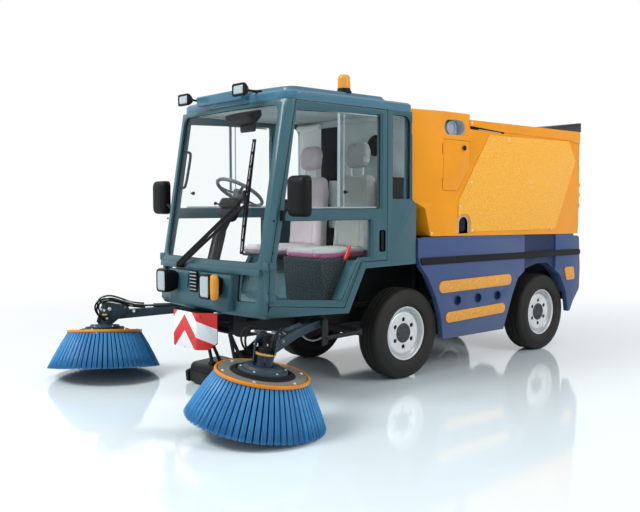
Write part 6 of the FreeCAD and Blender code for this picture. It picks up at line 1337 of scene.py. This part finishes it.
for side, sign in (("left", 1), ("right", -1)):
    centre = Vector(hinge["brush_spin_" + side]["pos_m"])
    axis = Vector(hinge["brush_spin_" + side]["axis"])
    turn = Vector((0, 0, 1)).rotation_difference(axis).to_matrix()
    body = "brush_" + side
    points, faces, tones = bristles(turn, centre)
    mesh = bpy.data.meshes.new("bristles_" + side)
    mesh.from_pydata(points, [], faces)
    tone_layer = mesh.attributes.new("bristle_tone", "FLOAT", "POINT")
    tone_layer.data.foreach_set("value", tones)
    mesh.materials.append(bristle)
    mesh.shade_smooth()
    piece = place_in_scene("bristles_" + side, mesh)
    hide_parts("brush_" + side)
    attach(piece, body)
    # A cone of packed bristles behind the tufts, in dark navy: painted shade inside the brush
    bm = bmesh.new()
    lathe(bm, [(-0.027, CLAMP_INNER), (-0.266, TIP - 0.026), (-0.266, TIP - 0.050), (-0.030, DISC - 0.055)],
          centre, axis, 88)
    fit("bristle_roots_painted_shade_" + side, bm, body, [bristle_core_painted_shade])
    bm = bmesh.new()
    lathe(bm, eased([(0, 0.0205), (0, DISC - 0.060, 0.01), (0.002, DISC - 0.054), (0.002, CLAMP_INNER),
                     (-0.012, CLAMP_INNER), (-0.014, DISC - 0.064), (-0.014, 0.06), (-0.028, 0.056),
                     (-0.028, 0.0205)], 3), centre, axis, 96)
    lathe(bm, eased([(0.003, DISC - 0.012, 0.003), (0.005, DISC - 0.001, 0.005),
                     (-0.003, DISC + 0.003, 0.005), (-0.015, DISC + 0.0025, 0.004), (-0.017, DISC - 0.012)],
                    4), centre, axis, 96, 1)
    lathe(bm, eased([(0.0025, 0.150), (0.0135, 0.152, 0.003), (0.0145, 0.158, 0.004), (0.0060, 0.184, 0.006),
                     (0.0025, 0.188)], 4), centre, axis, 96, 3)
    for i in range(6):
        angle = math.radians(12 + 60 * i)
        at = centre + turn @ Vector((BOLT_CIRCLE * math.cos(angle), BOLT_CIRCLE * math.sin(angle), 0.002))
        bolt(bm, at, axis, 0.0085, 2)
    fit("brush_disc_" + side, bm, body, [disc_enamel, ring_orange, zinc, black_abs_and_shade])

    def arm_finish(middle, normal):
        """The motor is navy with a gold band and a black cap, the rest is slate."""
        reach = middle - centre
        rise = reach.dot(axis)
        off = (reach - axis * rise).length
        if off < 0.062 and 0.1065 < rise < 0.1195:
            return 2
        if off < MOTOR_REACH and 0.028 < rise < CAP_FROM:
            return 1
        if off < MOTOR_REACH and rise > CAP_FROM:
            return 3
        return 0

    pressed("arm_bracket_" + side, "arm_bracket_" + side, [arm_enamel], 1.5)
    pressed("sweep_arm_" + side, "sweep_arm_" + side, [arm_enamel, motor_enamel, passivated, black_abs_and_shade],
            1.5, arm_finish)
    # Pivot bolts, pipe unions and the bolts of the head plate
    root = Vector(hinge["arm_lift_" + side]["pos_m"])
    along = Vector((centre.x - root.x, centre.y - root.y, 0))
    length = along.length
    along.normalize()
    across = up_way.cross(along)

    def on_arm(ahead, off, rise=0.0):
        """Place given by the distance past the brush's axis, to the side, and above the lift pin."""
        return root + along * (length + ahead) + across * off + up_way * rise

    hexagon = [(0, 0), (0, 0.0125), (0.018, 0.0125), (0.018, 0)]
    bm = bmesh.new()
    for hand in (-1, 1):
        aside = across * hand
        bolt(bm, on_arm(-length, hand * 0.0432), aside, 0.010)
        bolt(bm, on_arm(-0.040, hand * 0.048, 0.024), aside, 0.009)
        for ahead, rise in ((-0.150, 0.030), (-0.020, -0.050), (0.020, 0.020)):
            bolt(bm, on_arm(ahead, hand * 0.039, rise), aside, 0.006)
        lathe(bm, hexagon, on_arm(-0.226, hand * 0.035), along, 6)
        lathe(bm, hexagon, on_arm(0.0005, hand * 0.035, 0.004), up_way - along * 0.22, 6)
    for i in range(6):
        angle = math.radians(60 * i)
        at = centre + turn @ Vector((0.128 * math.cos(angle), 0.128 * math.sin(angle), 0.0265))
        bolt(bm, at, axis, 0.006)
    # Slotted link plates beside the head, with their spacer tubes
    for hand in (-1, 1):
        aside = across * hand
        strip(bm, [on_arm(-0.205, hand * 0.052, 0.052), on_arm(-0.110, hand * 0.056, 0.070),
                   on_arm(0.015, hand * 0.056, 0.092)], [0.016, 0.020, 0.016], 0.005, aside)
        for ahead, rise in ((-0.205, 0.052), (0.015, 0.092)):
            lathe(bm, [(0.040, 0), (0.040, 0.007), (0.060, 0.007), (0.062, 0.005), (0.062, 0)],
                  on_arm(ahead, 0.0, rise), aside, 20)
    fit("arm_fittings_" + side, bm, "sweep_arm_" + side, [zinc])
    # Bent steel pipes from the motor's ports over the head to the beam
    route = ((-0.010, 0.047, -0.062), (0.028, 0.062, -0.040), (0.055, 0.082, 0.020), (0.035, 0.088, 0.072),
             (-0.040, 0.080, 0.094), (-0.130, 0.062, 0.068), (-0.210, 0.046, 0.034), (-0.300, 0.034, 0.030))
    runs = []
    for hand, lift, spread in ((-1, 0.0, 0.0), (-1, 0.018, 0.020), (1, 0.0, 0.0), (1, 0.018, 0.020)):
        runs.append([tuple(on_arm(ahead + spread * 0.5, hand * (off + spread), rise + lift))
                     for ahead, off, rise in route])
    line_piece("bent_pipes_" + side, runs, 0.0065, "sweep_arm_" + side, black_abs_and_shade, False,
               True)
